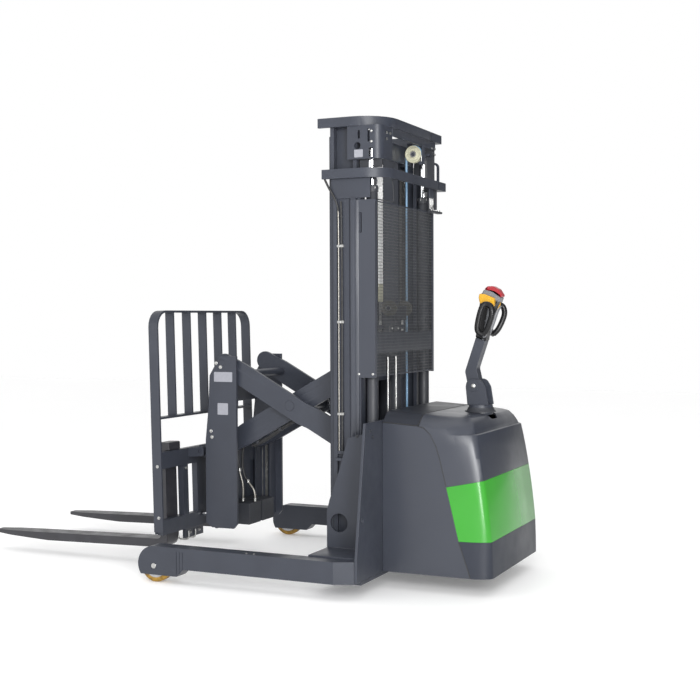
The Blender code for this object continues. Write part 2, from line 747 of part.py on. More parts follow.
def add_tray(truck):
    """Floor, side webs and deck inside the covers; the drive unit hangs from the deck."""
    front_x = HOOD_FRONT_X
    rear_x = STEER_X - 0.100
    side_y = WEB_Y + 0.010

    def corners_off(x_rear, x_side, x_front):
        """A plate's plan with its rear corners taken off to follow the covers."""
        return (
            (x_rear, 0.250), (x_side, side_y), (x_front, side_y),
            (x_front, -side_y), (x_side, -side_y), (x_rear, -0.250),
        )

    floor = prism(corners_off(rear_x, rear_x + 0.080, front_x), "XY", TRAY_Z, TRAY_Z + TRAY_THICK)
    deck = prism(
        corners_off(rear_x + 0.030, rear_x + 0.165, HOOD_SEAM_X - 0.030), "XY", DECK_Z, DECK_Z + 0.012,
    )
    webs = []
    for sign in (1, -1):
        ends = sorted((sign * WEB_Y, sign * (WEB_Y + 0.010)))
        webs.append(block((rear_x + 0.166, front_x - 0.001), ends, (TRAY_Z + 0.001, DECK_Z + 0.011)))
    tray = union(floor, deck, *webs)
    sweep = rod("Z", (STEER_X, 0), SWEEP_R + 0.008, 0.0, TRAY_Z + 0.05, 32)
    neck = rod("Z", (STEER_X, 0), COLUMN_R + 0.006, DECK_Z - 0.05, DECK_Z + 0.05, 24)
    truck.add("chassis_tray", "truck", "dark_paint", cut(tray, sweep, neck))
    battery_rear = front_x - 0.006 - BATTERY_SIZE[0]
    floor_top = TRAY_Z + TRAY_THICK + GAP
    battery = block(
        (battery_rear, front_x - 0.006), (-BATTERY_SIZE[1] / 2, BATTERY_SIZE[1] / 2),
        (floor_top, floor_top + BATTERY_SIZE[2]),
    )
    truck.add("battery", "truck", "black_plastic", battery)


# Steered drive

def add_drive(truck):
    half = DRIVE_WHEEL_WIDTH / 2
    centre = (STEER_X, DRIVE_WHEEL_R)
    edge = 0.008
    wheel = turned("Y", centre, (
        (-half, DRIVE_WHEEL_R * 0.72), (-half, DRIVE_WHEEL_R - edge), (-half + edge, DRIVE_WHEEL_R),
        (half - edge, DRIVE_WHEEL_R), (half, DRIVE_WHEEL_R - edge), (half, DRIVE_WHEEL_R * 0.72),
    ), 28)
    bore = rod("Y", centre, DRIVE_AXLE_R + RUN, -half - 0.01, half + 0.01)
    truck.add("drive_tyre", "drive_wheel", "rubber", cut(wheel, bore))
    side = half + 0.012
    thick = 0.014
    crown_z = DRIVE_WHEEL_R * 2 + 0.012
    cheeks = []
    for sign in (1, -1):
        ends = sorted((sign * side, sign * (side + thick)))
        outline = ring(0.045, 14, centre, math.pi, math.pi) + [
            (STEER_X + 0.045, crown_z + 0.010), (STEER_X - 0.045, crown_z + 0.010)]
        cheeks.append(prism(outline, "XZ", *ends))
    crown = rod("Z", (STEER_X, 0), SWEEP_R - 0.03, crown_z, crown_z + 0.040, 28)
    motor = rod("Z", (STEER_X, 0), MOTOR_R, crown_z + 0.039, DECK_Z - GAP, 24)
    column = rod("Z", (STEER_X, 0), COLUMN_R, DECK_Z - 0.013, HOOD_TOP_Z - 0.030)
    axle = rod("Y", centre, DRIVE_AXLE_R, -side - 0.002, side + 0.002)
    truck.add("drive_unit", "steering", "dark_paint", union(crown, motor, column, axle, *cheeks))


# Tiller

ARM_LOW = 0.026          # the arm's foot, below its pivot
ARM_KNEE = ((-0.538, 0.950), (-0.590, 1.105), (-0.634, 1.090), (-0.592, 0.965))
HEAD_OUTLINE = (
    (-0.588, 1.1062), (-0.563, 1.160), (-0.576, 1.290), (-0.640, 1.318), (-0.668, 1.300),
    (-0.655, 1.160), (-0.637, 1.0895),
)
BUTTON_OUTLINE = ((-0.6405, 1.3186), (-0.6685, 1.3006), (-0.700, 1.300), (-0.690, 1.326), (-0.650, 1.338))
GRIP_OUTLINE = ((-0.600, 1.150), (-0.590, 1.285), (-0.690, 1.275), (-0.735, 1.225), (-0.690, 1.165))
GRIP_WINDOW = ((-0.622, 1.178), (-0.614, 1.258), (-0.680, 1.252), (-0.708, 1.222), (-0.680, 1.186))


def add_tiller(truck):
    post = rod("Z", (STEER_X, 0), 0.055, HOOD_TOP_Z - 0.030 + GAP, HOOD_TOP_Z + 0.016, 24)
    cheeks = []
    outline = rounded((
        (STEER_X - 0.048, HOOD_TOP_Z + 0.010), (STEER_X + 0.050, HOOD_TOP_Z + 0.010),
        (TILLER_PIVOT_X + 0.038, TILLER_PIVOT_Z + 0.030), (TILLER_PIVOT_X - 0.034, TILLER_PIVOT_Z + 0.030),
    ), (0, 0, 0.022, 0.022), 4)
    for sign in (1, -1):
        ends = sorted((sign * 0.034, sign * 0.046))
        cheeks.append(prism(outline, "XZ", *ends))
    pin = rod("Y", (TILLER_PIVOT_X, TILLER_PIVOT_Z), SMALL_PIN_R, -0.035, 0.035)
    truck.add("tiller_base", "steering", "dark_paint", union(post, pin, *cheeks))
    low = TILLER_PIVOT_Z - ARM_LOW
    side_view = ((TILLER_PIVOT_X - 0.032, low), (TILLER_PIVOT_X + 0.028, low), *ARM_KNEE)
    arm = prism(rounded(side_view, (0.02, 0.02, 0.03, 0.0, 0.0, 0.03), 4), "XZ", -0.028, 0.028)
    bore = rod("Y", (TILLER_PIVOT_X, TILLER_PIVOT_Z), SMALL_PIN_R + RUN, -0.1, 0.1)
    truck.add("tiller_arm", "tiller", "graphite", cut(arm, bore))
    head = prism(rounded(HEAD_OUTLINE, (0, 0.02, 0.03, 0.01, 0.01, 0.02, 0), 3), "XZ", -0.036, 0.036)
    button = prism(rounded(BUTTON_OUTLINE, (0, 0, 0.008, 0.010, 0.010), 3), "XZ", -0.028, 0.028)
    truck.add("stop_button", "tiller", "red_plastic", button)
    grips = []
    for sign in (1, -1):
        outline = rounded(GRIP_OUTLINE, (0.02, 0.03, 0.03, 0.02, 0.03), 4)
        window = rounded(GRIP_WINDOW, (0.015, 0.02, 0.02, 0.012, 0.02), 4)
        ends = sorted((sign * 0.030, sign * 0.098))
        loop = prism(outline, "XZ", *ends)
        ends = sorted((sign * 0.037, sign * 0.108))
        grips.append(cut(loop, prism(window, "XZ", *ends)))
    truck.add("tiller_head", "tiller", "black_plastic", union(head, *grips))


# Mast

def stage_rollers(channel_x, inner_y, outer_y, z):
    """A pair of rollers, left and right, that fill a channel whose middle is at channel_x."""
    radius = SECTION_DEPTH / 2 - FLANGE - GAP
    pair = []
    for sign in (1, -1):
        ends = sorted((sign * inner_y, sign * outer_y))
        pair.append(rod("Y", (channel_x, z), radius, *ends, 12))
    return pair


def stage_section(rear_x, face_y, inner_y, outward, inward):
    """Plan outline of one upright on the left: a web with flanges towards each side."""
    front_x = rear_x + SECTION_DEPTH
    left = face_y + outward
    right = inner_y - inward
    return (
        (rear_x, right), (rear_x, left), (rear_x + FLANGE, left), (rear_x + FLANGE, face_y),
        (front_x - FLANGE, face_y), (front_x - FLANGE, left), (front_x, left), (front_x, right),
        (front_x - FLANGE, right), (front_x - FLANGE, inner_y), (rear_x + FLANGE, inner_y),
        (rear_x + FLANGE, right),
    )


def clean_outline(points):
    """Drop repeated points, which a section with flanges on one side only has."""
    out = []
    for point in points:
        if not out or (Vector(point) - Vector(out[-1])).length > 1e-6:
            out.append(point)
    return out


def add_outer_stage(truck):
    front_x = OUTER_REAR_X + SECTION_DEPTH
    web_y = OUTER_FACE_Y - WEB - 0.002
    section = (
        (OUTER_REAR_X, OUTER_LIP_Y), (OUTER_REAR_X, OUTER_FACE_Y), (front_x, OUTER_FACE_Y),
        (front_x, OUTER_LIP_Y), (front_x - FLANGE, OUTER_LIP_Y), (front_x - FLANGE, web_y),
        (OUTER_REAR_X + FLANGE, web_y), (OUTER_REAR_X + FLANGE, OUTER_LIP_Y),
    )
    upright = prism(section, "XY", BASE_BOTTOM_Z + GAP, OUTER_TOP_Z)
    rim_z = (BASE_TOP_Z + GAP, OUTER_TOP_Z - TIE_HEIGHT - APRON_DEPTH - GAP)
    out = OUTER_FACE_Y + RIM
    rim_rear_x = OUTER_REAR_X + COVER_LAP + GAP
    rear_rim = prism((
        (rim_rear_x, OUTER_FACE_Y - 0.001), (rim_rear_x, out), (rim_rear_x + RIM_REAR_WIDTH - 0.012, out),
        (rim_rear_x + RIM_REAR_WIDTH, out - RIM * 0.7), (rim_rear_x + RIM_REAR_WIDTH, OUTER_FACE_Y - 0.001),
    ), "XY", *rim_z)
    front_rim = block((front_x - FLANGE, front_x - 0.0005), (OUTER_FACE_Y - 0.001, out), rim_z)
    truck.add_pair("outer_upright", "truck", "graphite", union(upright, rear_rim, front_rim))
    half = SECOND_TIE_HALF - TIE_THICK / 2
    path = (
        (SECOND_TIE_FRONT_X, half), (SECOND_TIE_REAR_X + TIE_THICK / 2, half),
        (SECOND_TIE_REAR_X + TIE_THICK / 2, -half), (SECOND_TIE_FRONT_X, -half),
    )
    low = OUTER_TOP_Z - TIE_HEIGHT
    tie = strap(path, TIE_THICK, low, OUTER_TOP_Z, SECOND_TIE_CORNER)
    lugs = []
    for sign in (1, -1):
        ends = sorted((sign * (OUTER_FACE_Y + GAP), sign * (half + 0.001)))
        lugs.append(block((-0.150, -0.050), ends, (low + 0.004, OUTER_TOP_Z - 0.004)))
        ends = sorted((sign * (OUTER_FACE_Y + GAP), sign * (OUTER_FACE_Y + 0.006)))
        lugs.append(block((-0.215, -0.026), ends, (low - APRON_DEPTH, low + 0.006)))
    loop_x = (-0.262, -0.209)
    loop = rounded((
        (loop_x[0], OUTER_TOP_Z - 0.004), (loop_x[1], OUTER_TOP_Z - 0.004),
        (loop_x[1], OUTER_TOP_Z + 0.104), (loop_x[0], OUTER_TOP_Z + 0.104),
    ), (0, 0, 0.024, 0.024), 5)
    window = rounded((
        (loop_x[0] + 0.011, OUTER_TOP_Z + 0.012), (loop_x[1] - 0.011, OUTER_TOP_Z + 0.012),
        (loop_x[1] - 0.011, OUTER_TOP_Z + 0.093), (loop_x[0] + 0.011, OUTER_TOP_Z + 0.093),
    ), (0.004, 0.004, 0.013, 0.013), 4)
    edge_y = -SECOND_TIE_HALF
    eye = prism(loop, "XZ", edge_y + 0.001, edge_y + 0.013)
    eye = cut(eye, prism(window, "XZ", edge_y - 0.01, edge_y + 0.03))
    truck.add("outer_tie", "truck", "graphite", union(tie, eye, *lugs))
    lap_x = OUTER_REAR_X + COVER_LAP
    cover = prism((
        (lap_x, OUTER_FACE_Y + GAP), (lap_x, OUTER_FACE_Y + GAP + COVER_THICK),
        (COVER_REAR_X, OUTER_FACE_Y + GAP + COVER_THICK), (COVER_REAR_X, COVER_LIP_Y),
        (COVER_REAR_X + COVER_THICK, COVER_LIP_Y), (COVER_REAR_X + COVER_THICK, OUTER_FACE_Y + GAP),
    ), "XY", COVER_LOW_Z, COVER_HIGH_Z)
    truck.add_pair("side_cover", "truck", "graphite", cover)


def add_guard(truck):
    """The grille behind the mast: a flat lattice in a thin frame, and a bar across it."""
    columns = 5
    rows = 6
    half = COVER_LIP_Y - GAP
    low = COVER_LOW_Z + 0.005
    high = COVER_HIGH_Z - 0.005
    bar = 0.006
    thick = 0.004
    rear = COVER_REAR_X
    grid = block((rear, rear + thick), (-half, half), (low, high))
    pitch_y = (2 * half - bar) / columns
    pitch_z = (high - low - bar) / rows
    bm = bmesh.new()
    for i in range(columns):
        for j in range(rows):
            y0 = -half + bar + i * pitch_y
            z0 = low + bar + j * pitch_z
            made = bmesh.ops.create_cube(bm, size=1.0)["verts"]
            span = (thick * 3, pitch_y - bar, pitch_z - bar)
            bmesh.ops.scale(bm, vec=span, verts=made)
            spot = (rear + thick / 2, y0 + span[1] / 2, z0 + span[2] / 2)
            bmesh.ops.translate(bm, vec=spot, verts=made)
    holes = to_object(bm)
    across = block((rear + thick - 0.001, rear + thick + 0.0025), (-half, half), CROSS_BAR_Z)
    truck.add("rear_guard", "truck", "graphite", union(cut(grid, holes), across))


def add_lift_chains(truck):
    """Leaf chains from the outer stage's brackets up to the head, one solid with anchor and rod."""
    low = CHAIN_LOW_Z
    high = MAST_TOP_Z - TIE_HEIGHT - INNER_TOP_DROP - INNER_HEAD_DEPTH - CHAIN_TOP_GAP
    pitch = (high - low) / CHAIN_LINKS
    waist = 0.003
    front = []
    rear = []
    for k in range(CHAIN_LINKS):
        z = low + k * pitch
        front += [(CHAIN_X[1], z), (CHAIN_X[1], z + pitch * 0.70)]
        rear += [(CHAIN_X[0], z), (CHAIN_X[0], z + pitch * 0.70)]
        if k < CHAIN_LINKS - 1:
            front.append((CHAIN_X[1] - waist, z + pitch * 0.85))
            rear.append((CHAIN_X[0] + waist, z + pitch * 0.85))
    links = prism(front + rear[::-1], "XZ", *CHAIN_Y)
    middle_x = sum(CHAIN_X) / 2
    middle_y = sum(CHAIN_Y) / 2
    anchor = block(
        (CHAIN_X[0] + 0.001, CHAIN_X[1] - 0.001), (CHAIN_Y[0] + 0.004, CHAIN_Y[1] - 0.004),
        (CHAIN_ANCHOR_Z, low + 0.001),
    )
    stud = rod("Z", (middle_x, middle_y), 0.006, CHAIN_BRACKET_Z[0] + 0.002, CHAIN_ANCHOR_Z + 0.001, 12)
    bracket = block(
        (OUTER_REAR_X - 0.006, CHAIN_X[1] + 0.001), (CHAIN_Y[0], OUTER_LIP_Y - GAP), CHAIN_BRACKET_Z,
    )
    truck.add_pair("lift_chain", "truck", "steel", union(links, anchor, stud, bracket))


def add_lift_cylinders(truck):
    barrel_top = OUTER_TOP_Z - TIE_HEIGHT - 0.030
    barrel = rod("Z", (LIFT_CYL_X, LIFT_CYL_Y), LIFT_CYL_R, BASE_BOTTOM_Z + GAP, barrel_top)
    well = rod("Z", (LIFT_CYL_X, LIFT_CYL_Y), LIFT_ROD_R + RUN, LIFT_WELL_Z, barrel_top + 0.01)
    truck.add_pair("lift_barrel", "truck", "dark_paint", cut(barrel, well))
    piston = rod("Z", (LIFT_CYL_X, LIFT_CYL_Y), LIFT_ROD_R, LIFT_WELL_Z + 0.005, BRACKET_Z - GAP)
    truck.add_pair("lift_rod", "middle_stage", "chrome", piston)


def add_middle_stage(truck):
    rear_x = OUTER_REAR_X + STAGE_STEP_X - 0.003
    section = clean_outline(stage_section(rear_x, 0.305, 0.295, 0.037, 0.033))
    upright = prism(section, "XY", MAST_FOOT_Z, MAST_TOP_Z - TIE_HEIGHT + 0.002)
    half = TOP_TIE_HALF - TIE_THICK / 2
    rear = TOP_TIE_REAR_X + TIE_THICK / 2
    low = MAST_TOP_Z - TIE_HEIGHT
    tie = strap(((TOP_TIE_FRONT_X, half), (rear, half), (rear, -half), (TOP_TIE_FRONT_X, -half)),
                TIE_THICK, low, MAST_TOP_Z, TOP_TIE_CORNER)
    pads = []
    for sign in (1, -1):
        ends = sorted((sign * 0.296, sign * (half + 0.001)))
        pads.append(block((rear_x + 0.002, rear_x + SECTION_DEPTH), ends, (low + 0.001, low + 0.016)))
    bracket = block((-0.245, rear_x + 0.001), (0.290, 0.345), (BRACKET_Z, BRACKET_Z + 0.012))
    plain = union(upright, bracket)
    right = mirrored(plain)
    side = strap(CORNER_STRAP, 0.010, MAST_TOP_Z - SIDE_PLATE_DROP, low + 0.001, 0.030, 4)
    slot = rod("Y", (-0.150, MAST_TOP_Z - 0.130), 0.016, 0.30, 0.40, 12)
    left = union(plain, cut(side, slot))
    post = block(POST_X, (-0.3545, -0.3445), (MAST_TOP_Z - SIDE_PLATE_DROP, low + 0.001))
    apron = block(HEAD_APRON_X, (-0.310, 0.230), (low - HEAD_APRON_DROP, low + 0.001))
    hanger_y = (PULLEY_Y - 0.0205, PULLEY_Y - 0.0135)
    hanger_x = (HEAD_APRON_X[1] - 0.001, PULLEY_X + 0.014)
    hanger = block(hanger_x, hanger_y, (MAST_TOP_Z - PULLEY_DROP - 0.014, low - 0.010))
    axle = rod("Y", (PULLEY_X, MAST_TOP_Z - PULLEY_DROP), 0.008, PULLEY_Y - 0.0145, PULLEY_Y + 0.015, 16)
    hose_turn_r = PULLEY_R - PULLEY_GROOVE + HOSE_R
    clip_y = (PULLEY_Y - 0.012, PULLEY_Y + 0.012)
    clip_x = (LOWER_STRAP_X + STRAP_THICK / 2 - 0.001, PULLEY_X + hose_turn_r + 0.008)
    clip = block(clip_x, clip_y, (LOWER_STRAP_Z[0] + 0.012, HOSE_LOW_Z - GAP))
    end_x = PULLEY_X - hose_turn_r
    end_z = MAST_TOP_Z - PULLEY_DROP - HOSE_TAIL - GAP
    shelf = block((end_x - 0.013, end_x + 0.008), clip_y, (end_z - 0.014, end_z))
    drop_tab = block((end_x - 0.014, end_x - 0.0069), clip_y, (end_z - 0.014, low - 0.030))
    round_back = (
        (rear_x + 0.001, 0.271), (LOWER_STRAP_X, 0.271), (LOWER_STRAP_X, -0.271), (rear_x + 0.001, -0.271),
    )
    lower = strap(round_back, STRAP_THICK, *LOWER_STRAP_Z, 0.014, 3)
    outer_middle_x = OUTER_REAR_X + SECTION_DEPTH / 2
    rollers = stage_rollers(outer_middle_x, 0.304, OUTER_FACE_Y - WEB - 0.002 - RUN, ROLLER_Z)
    held = (post, apron, hanger, axle, clip, shelf, drop_tab)
    frame = union(tie, left, right, lower, *held, *pads, *rollers)
    truck.add("middle_mast", "middle_stage", "graphite", frame)
    centre = (PULLEY_X, MAST_TOP_Z - PULLEY_DROP)
    groove_r = PULLEY_R - PULLEY_GROOVE
    half_rim = ((0.013, PULLEY_R - 0.003), (0.0105, PULLEY_R), (HOSE_R + 0.0006, groove_r))
    profile = [(PULLEY_Y - out, radius) for out, radius in half_rim]
    profile += [(PULLEY_Y + out, radius) for out, radius in half_rim[::-1]]
    pulley = turned("Y", centre, profile, 20)
    bore = rod("Y", centre, 0.008 + RUN, PULLEY_Y - 0.03, PULLEY_Y + 0.03, 16)
    truck.add("hose_pulley", "middle_stage", "cream_plastic", cut(pulley, bore))
    truck.add("mast_hose", "middle_stage", "rubber", mast_hose(centre))


def mast_hose(centre):
    """The hose from its clip on the lower strap up to the pulley and over it."""
    turn_r = PULLEY_R - PULLEY_GROOVE + GAP + HOSE_R
    route = [(centre[0] + turn_r, HOSE_LOW_Z)]
    for k in range(HOSE_TURN_STEPS + 1):
        angle = math.pi * k / HOSE_TURN_STEPS
        route.append((centre[0] + turn_r * math.cos(angle), centre[1] + turn_r * math.sin(angle)))
    route.append((centre[0] - turn_r, centre[1] - HOSE_TAIL))
    bm = bmesh.new()
    rings = []
    for index, (x, z) in enumerate(route):
        angle = math.pi * min(max(index - 1, 0), HOSE_TURN_STEPS) / HOSE_TURN_STEPS
        loop = []
        for k in range(8):
            turn = 2 * math.pi * (k + 0.5) / 8
            out = HOSE_R * math.cos(turn)
            loop.append(bm.verts.new((
                x + out * math.cos(angle), PULLEY_Y + HOSE_R * math.sin(turn), z + out * math.sin(angle),
            )))
        rings.append(loop)
    for first, second in zip(rings, rings[1:]):
        for k in range(8):
            bm.faces.new((first[k], first[k - 1], second[k - 1], second[k]))
    bm.faces.new(rings[0])
    bm.faces.new(rings[-1])
    return to_object(bm)


def add_inner_stage(truck):
    rear_x = OUTER_REAR_X + 2 * STAGE_STEP_X - 0.003
    section = clean_outline(stage_section(rear_x, 0.255, 0.245, 0.034, 0.030))
    top = MAST_TOP_Z - TIE_HEIGHT - INNER_TOP_DROP
    upright = prism(section, "XY", MAST_FOOT_Z, top)
    right = mirrored(upright)
    behind = CARRIAGE_REAR_X - SLIDE_GAP - 0.006
    head = strap(((rear_x + 0.001, 0.250), (behind, 0.250), (behind, -0.250), (rear_x + 0.001, -0.250)),
                 0.012, top - INNER_HEAD_DEPTH, top - 0.001, 0.014, 3)
    step = block((-0.208, rear_x - 0.001), (-0.045, 0.045), (MAST_FOOT_Z + 0.001, MAST_FOOT_Z + 0.012))
    foot_z = (MAST_FOOT_Z + 0.002, MAST_FOOT_Z + 0.050)
    foot = block((rear_x - 0.012, rear_x + 0.001), (-0.250, 0.250), foot_z)
    middle_x = OUTER_REAR_X + STAGE_STEP_X - 0.003 + SECTION_DEPTH / 2
    rollers = stage_rollers(middle_x, 0.254, 0.295 - RUN, ROLLER_Z)
    truck.add("inner_mast", "inner_stage", "graphite", union(upright, right, head, step, foot, *rollers))
    barrel_top = CROSSHEAD_Z - SHEAVE_R - 0.045
    barrel = rod("Z", (FREE_CYL_X, 0), FREE_CYL_R, MAST_FOOT_Z + 0.012 + GAP, barrel_top)
    well = rod("Z", (FREE_CYL_X, 0), FREE_ROD_R + RUN, FREE_WELL_Z, barrel_top + 0.01)
    truck.add("free_lift_barrel", "inner_stage", "dark_paint", cut(barrel, well))


def add_crosshead(truck):
    piston = rod("Z", (FREE_CYL_X, 0), FREE_ROD_R, FREE_WELL_Z + HEAD_DROP + 0.006, CROSSHEAD_Z - 0.030)
    head = block(
        (SHEAVE_X - 0.018, FREE_CYL_X + 0.020), (-0.075, 0.075), (CROSSHEAD_Z - 0.057, CROSSHEAD_Z + 0.012),
    )
    pin = rod("Y", (SHEAVE_X, CROSSHEAD_Z), SMALL_PIN_R, -0.110, 0.110)
    truck.add("crosshead", "crosshead", "steel", union(head, piston, pin))
    for side, sign in (("left", 1), ("right", -1)):
        ends = sorted((sign * 0.082, sign * 0.108))
        sheave = turned("Y", (SHEAVE_X, CROSSHEAD_Z), (
            (ends[0], SHEAVE_R - 0.003), (ends[0] + 0.004, SHEAVE_R), (ends[0] + 0.006, SHEAVE_R - 0.006),
            (ends[1] - 0.006, SHEAVE_R - 0.006), (ends[1] - 0.004, SHEAVE_R), (ends[1], SHEAVE_R - 0.003),
        ), 18)
        bore = rod("Y", (SHEAVE_X, CROSSHEAD_Z), SMALL_PIN_R + RUN, ends[0] - 0.01, ends[1] + 0.01)
        truck.add("chain_sheave_" + side, "crosshead", "cream_plastic", cut(sheave, bore))


# Reach carriage, scissor and head

def add_carriage(truck):
    low = FRAME_LOW_Z
    high = PIVOT_TOP_Z + 0.045
    front_x = -0.050
    plate_y = (CARRIAGE_PLATE_Y - CARRIAGE_PLATE_THICK / 2, CARRIAGE_PLATE_Y + CARRIAGE_PLATE_THICK / 2)
    plate = block((CARRIAGE_REAR_X, front_x), plate_y, (low, high))
    bore = rod("Y", (REAR_PIVOT_X, PIVOT_TOP_Z), PIN_R + RUN, plate_y[0] - 0.01, plate_y[1] + 0.01)
    plate = cut(plate, bore)
    channel = block((REAR_PIVOT_X - 0.045, REAR_PIVOT_X + 0.045), (0.122, 0.162), (low, CHANNEL_TOP_Z))
    groove_x = (REAR_PIVOT_X - 0.037, REAR_PIVOT_X + 0.037)
    groove = block(groove_x, (0.130, 0.18), (low - 0.01, CHANNEL_TOP_Z + 0.01))
    channel = cut(channel, groove)
    left = union(plate, channel)
    right = mirrored(left)
    rear = []
    for z0, z1 in ((low, low + 0.090), (0.520, 0.640), (0.905, high)):
        across = (-plate_y[1] + 0.001, plate_y[1] - 0.001)
        rear.append(block((CARRIAGE_REAR_X + 0.001, CARRIAGE_REAR_X + 0.012), across, (z0, z1)))
    foot_x = (REACH_FOOT[0] - 0.075, REACH_FOOT[0] + 0.020)
    foot = block(foot_x, (-0.130, 0.130), (low + 0.002, low + 0.020))
    lugs = []
    for sign in (1, -1):
        ends = sorted((sign * 0.034, sign * 0.046))
        lugs.append(prism(((REACH_FOOT[0] - 0.030, low + 0.010), (REACH_FOOT[0] + 0.020, low + 0.010),
                           (REACH_FOOT[0] + 0.020, REACH_FOOT[1] + 0.020),
                           (REACH_FOOT[0] - 0.020, REACH_FOOT[1] + 0.020)), "XZ", *ends))
    pin = rod("Y", REACH_FOOT, SMALL_PIN_R, -0.035, 0.035)
    inner_x = OUTER_REAR_X + 2 * STAGE_STEP_X - 0.003 + SECTION_DEPTH / 2
    rollers = []
    for z in (low + 0.070, high - 0.070):
        rollers += stage_rollers(inner_x, plate_y[1] - 0.001, 0.245 - RUN, z)
    frame = union(left, right, *rear, foot, pin, *lugs, *rollers)
    truck.add("carriage_frame", "carriage", "graphite", frame)


def arm_outline():
    """Outline of an arm along its own axis: round ends that widen to the full bar."""
    half = ARM_WIDTH / 2
    tail = ring(ARM_END_R, 12, (0.0, 0.0), math.pi / 2, math.pi)
    nose = ring(ARM_END_R, 12, (ARM_LENGTH, 0.0), -math.pi / 2, math.pi)
    below = [(ARM_TAPER, -half), (ARM_LENGTH - ARM_TAPER, -half)]
    above = [(ARM_LENGTH - ARM_TAPER, half), (ARM_TAPER, half)]
    return tail + below + nose + above


def laid_on_arm(shape, start, angle):
    """Put a shape drawn along +X from the origin onto an arm that starts at start (x, z)."""
    shape.data.transform(Matrix.Translation((start[0], 0, start[1])) @ Matrix.Rotation(angle, 4, "Y"))
    return shape


def add_inner_arms(truck):
    """Straight plates from the carriage's top pins forwards and down to the head's rollers."""
    start = (REAR_PIVOT_X, PIVOT_TOP_Z)
    low = INNER_ARM_Y - ARM_THICK / 2
    high = INNER_ARM_Y + ARM_THICK / 2
    pieces = []
    for sign in (1, -1):
        ends = sorted((sign * low, sign * high))
        pieces.append(prism(arm_outline(), "XZ", *ends))
        pin = sorted((sign * (high - 0.001), sign * (CARRIAGE_PLATE_Y + CARRIAGE_PLATE_THICK / 2 - 0.002)))
        pieces.append(rod("Y", (0, 0), PIN_R, pin[0], pin[1]))
        hub = sorted((sign * (high - 0.001), sign * (OUTER_ARM_Y + ARM_THICK / 2)))
        pieces.append(rod("Y", (ARM_LENGTH / 2, 0), PIN_R + 0.006, hub[0], hub[1], 20))
        axle = sorted((sign * (high - 0.001), sign * (high + 0.026)))
        pieces.append(rod("Y", (ARM_LENGTH, 0), ROLLER_R, axle[0], axle[1]))
    pieces.append(rod("Y", (ARM_LENGTH / 2, 0), MID_TUBE_R, -low - 0.001, low + 0.001, 18))
    pieces.append(rod("Y", (0, 0), 0.022, -low - 0.001, low + 0.001))
    pieces.append(rod("Y", (REACH_LUG_RUN, -0.0), 0.016, -low - 0.001, -0.018))
    pieces.append(rod("Y", (REACH_LUG_RUN, -0.0), 0.016, 0.018, low + 0.001))
    arms = laid_on_arm(union(*pieces), start, ARM_ANGLE)
    truck.add("scissor_inner_arms", "inner_arms", "graphite", arms)


def add_outer_arms(truck):
    """Plates from the head's top pins rearwards and down, cranked inwards behind the middle."""
    half = ARM_WIDTH / 2
    start = (FRONT_PIVOT_X, PIVOT_TOP_Z)
    crank_from = ARM_LENGTH / 2 + 0.075
    crank_to = crank_from + 0.050
    bend = (
        (-half - 0.02, OUTER_ARM_Y), (crank_from, OUTER_ARM_Y),
        (crank_to, OUTER_ARM_REAR_Y), (ARM_LENGTH + half + 0.02, OUTER_ARM_REAR_Y),
    )
    thick = ARM_THICK / 2
    plan = [(-x, y + thick) for x, y in bend] + [(-x, y - thick) for x, y in reversed(bend)]
    left = prism(plan, "XY", -half - 0.01, half + 0.01)
    side = prism([(-a, b) for a, b in arm_outline()], "XZ", 0.10, 0.30)
    left = common(left, side)
    eye = rod("Y", (-ARM_LENGTH / 2, 0), PIN_R + 0.006 + RUN, 0.1, 0.3, 20)
    left = cut(left, eye)
    pin = rod("Y", (0, 0), PIN_R, OUTER_ARM_Y + thick - 0.001, FRONT_PLATE_Y + FRONT_PLATE_THICK / 2)
    arm_side = OUTER_ARM_REAR_Y - thick
    roller = rod("Y", (-ARM_LENGTH, 0), ROLLER_R, arm_side - 0.030, arm_side + 0.001)
    left = union(left, pin, roller)
    right = mirrored(left)
    shaft = rod("Y", (-ARM_TAPER, 0), 0.020, -OUTER_ARM_Y + thick - 0.001, OUTER_ARM_Y - thick + 0.001)
    arms = laid_on_arm(union(left, right, shaft), start, -ARM_ANGLE)
    truck.add("scissor_outer_arms", "outer_arms", "graphite", arms)


def add_reach_cylinder(truck):
    foot = REACH_FOOT
    run_x = LUG_X - foot[0]
    run_z = LUG_Z - foot[1]
    length = math.hypot(run_x, run_z)
    lean = math.atan2(run_x, run_z)
    barrel_len = 0.300
    barrel = rod("Z", (foot[0], 0), REACH_BARREL_R, foot[1] + 0.020, foot[1] + barrel_len)
    eye = rod("Y", foot, 0.024, -0.028, 0.028)
    bore = rod("Y", foot, SMALL_PIN_R + RUN, -0.05, 0.05)
    well = rod("Z", (foot[0], 0), REACH_ROD_R + RUN, foot[1] + 0.050, foot[1] + barrel_len + 0.02)
    barrel = cut(union(barrel, eye), bore, well)
    truck.add("reach_barrel", "reach_barrel", "dark_paint", turned_about_y(barrel, lean, foot))
    piston = rod("Z", (foot[0], 0), REACH_ROD_R, foot[1] + 0.230, foot[1] + length - 0.010)
    tip = rod("Y", (foot[0], foot[1] + length), 0.022, -0.014, 0.014)
    truck.add("reach_rod", "reach_rod", "chrome", turned_about_y(union(piston, tip), lean, foot))


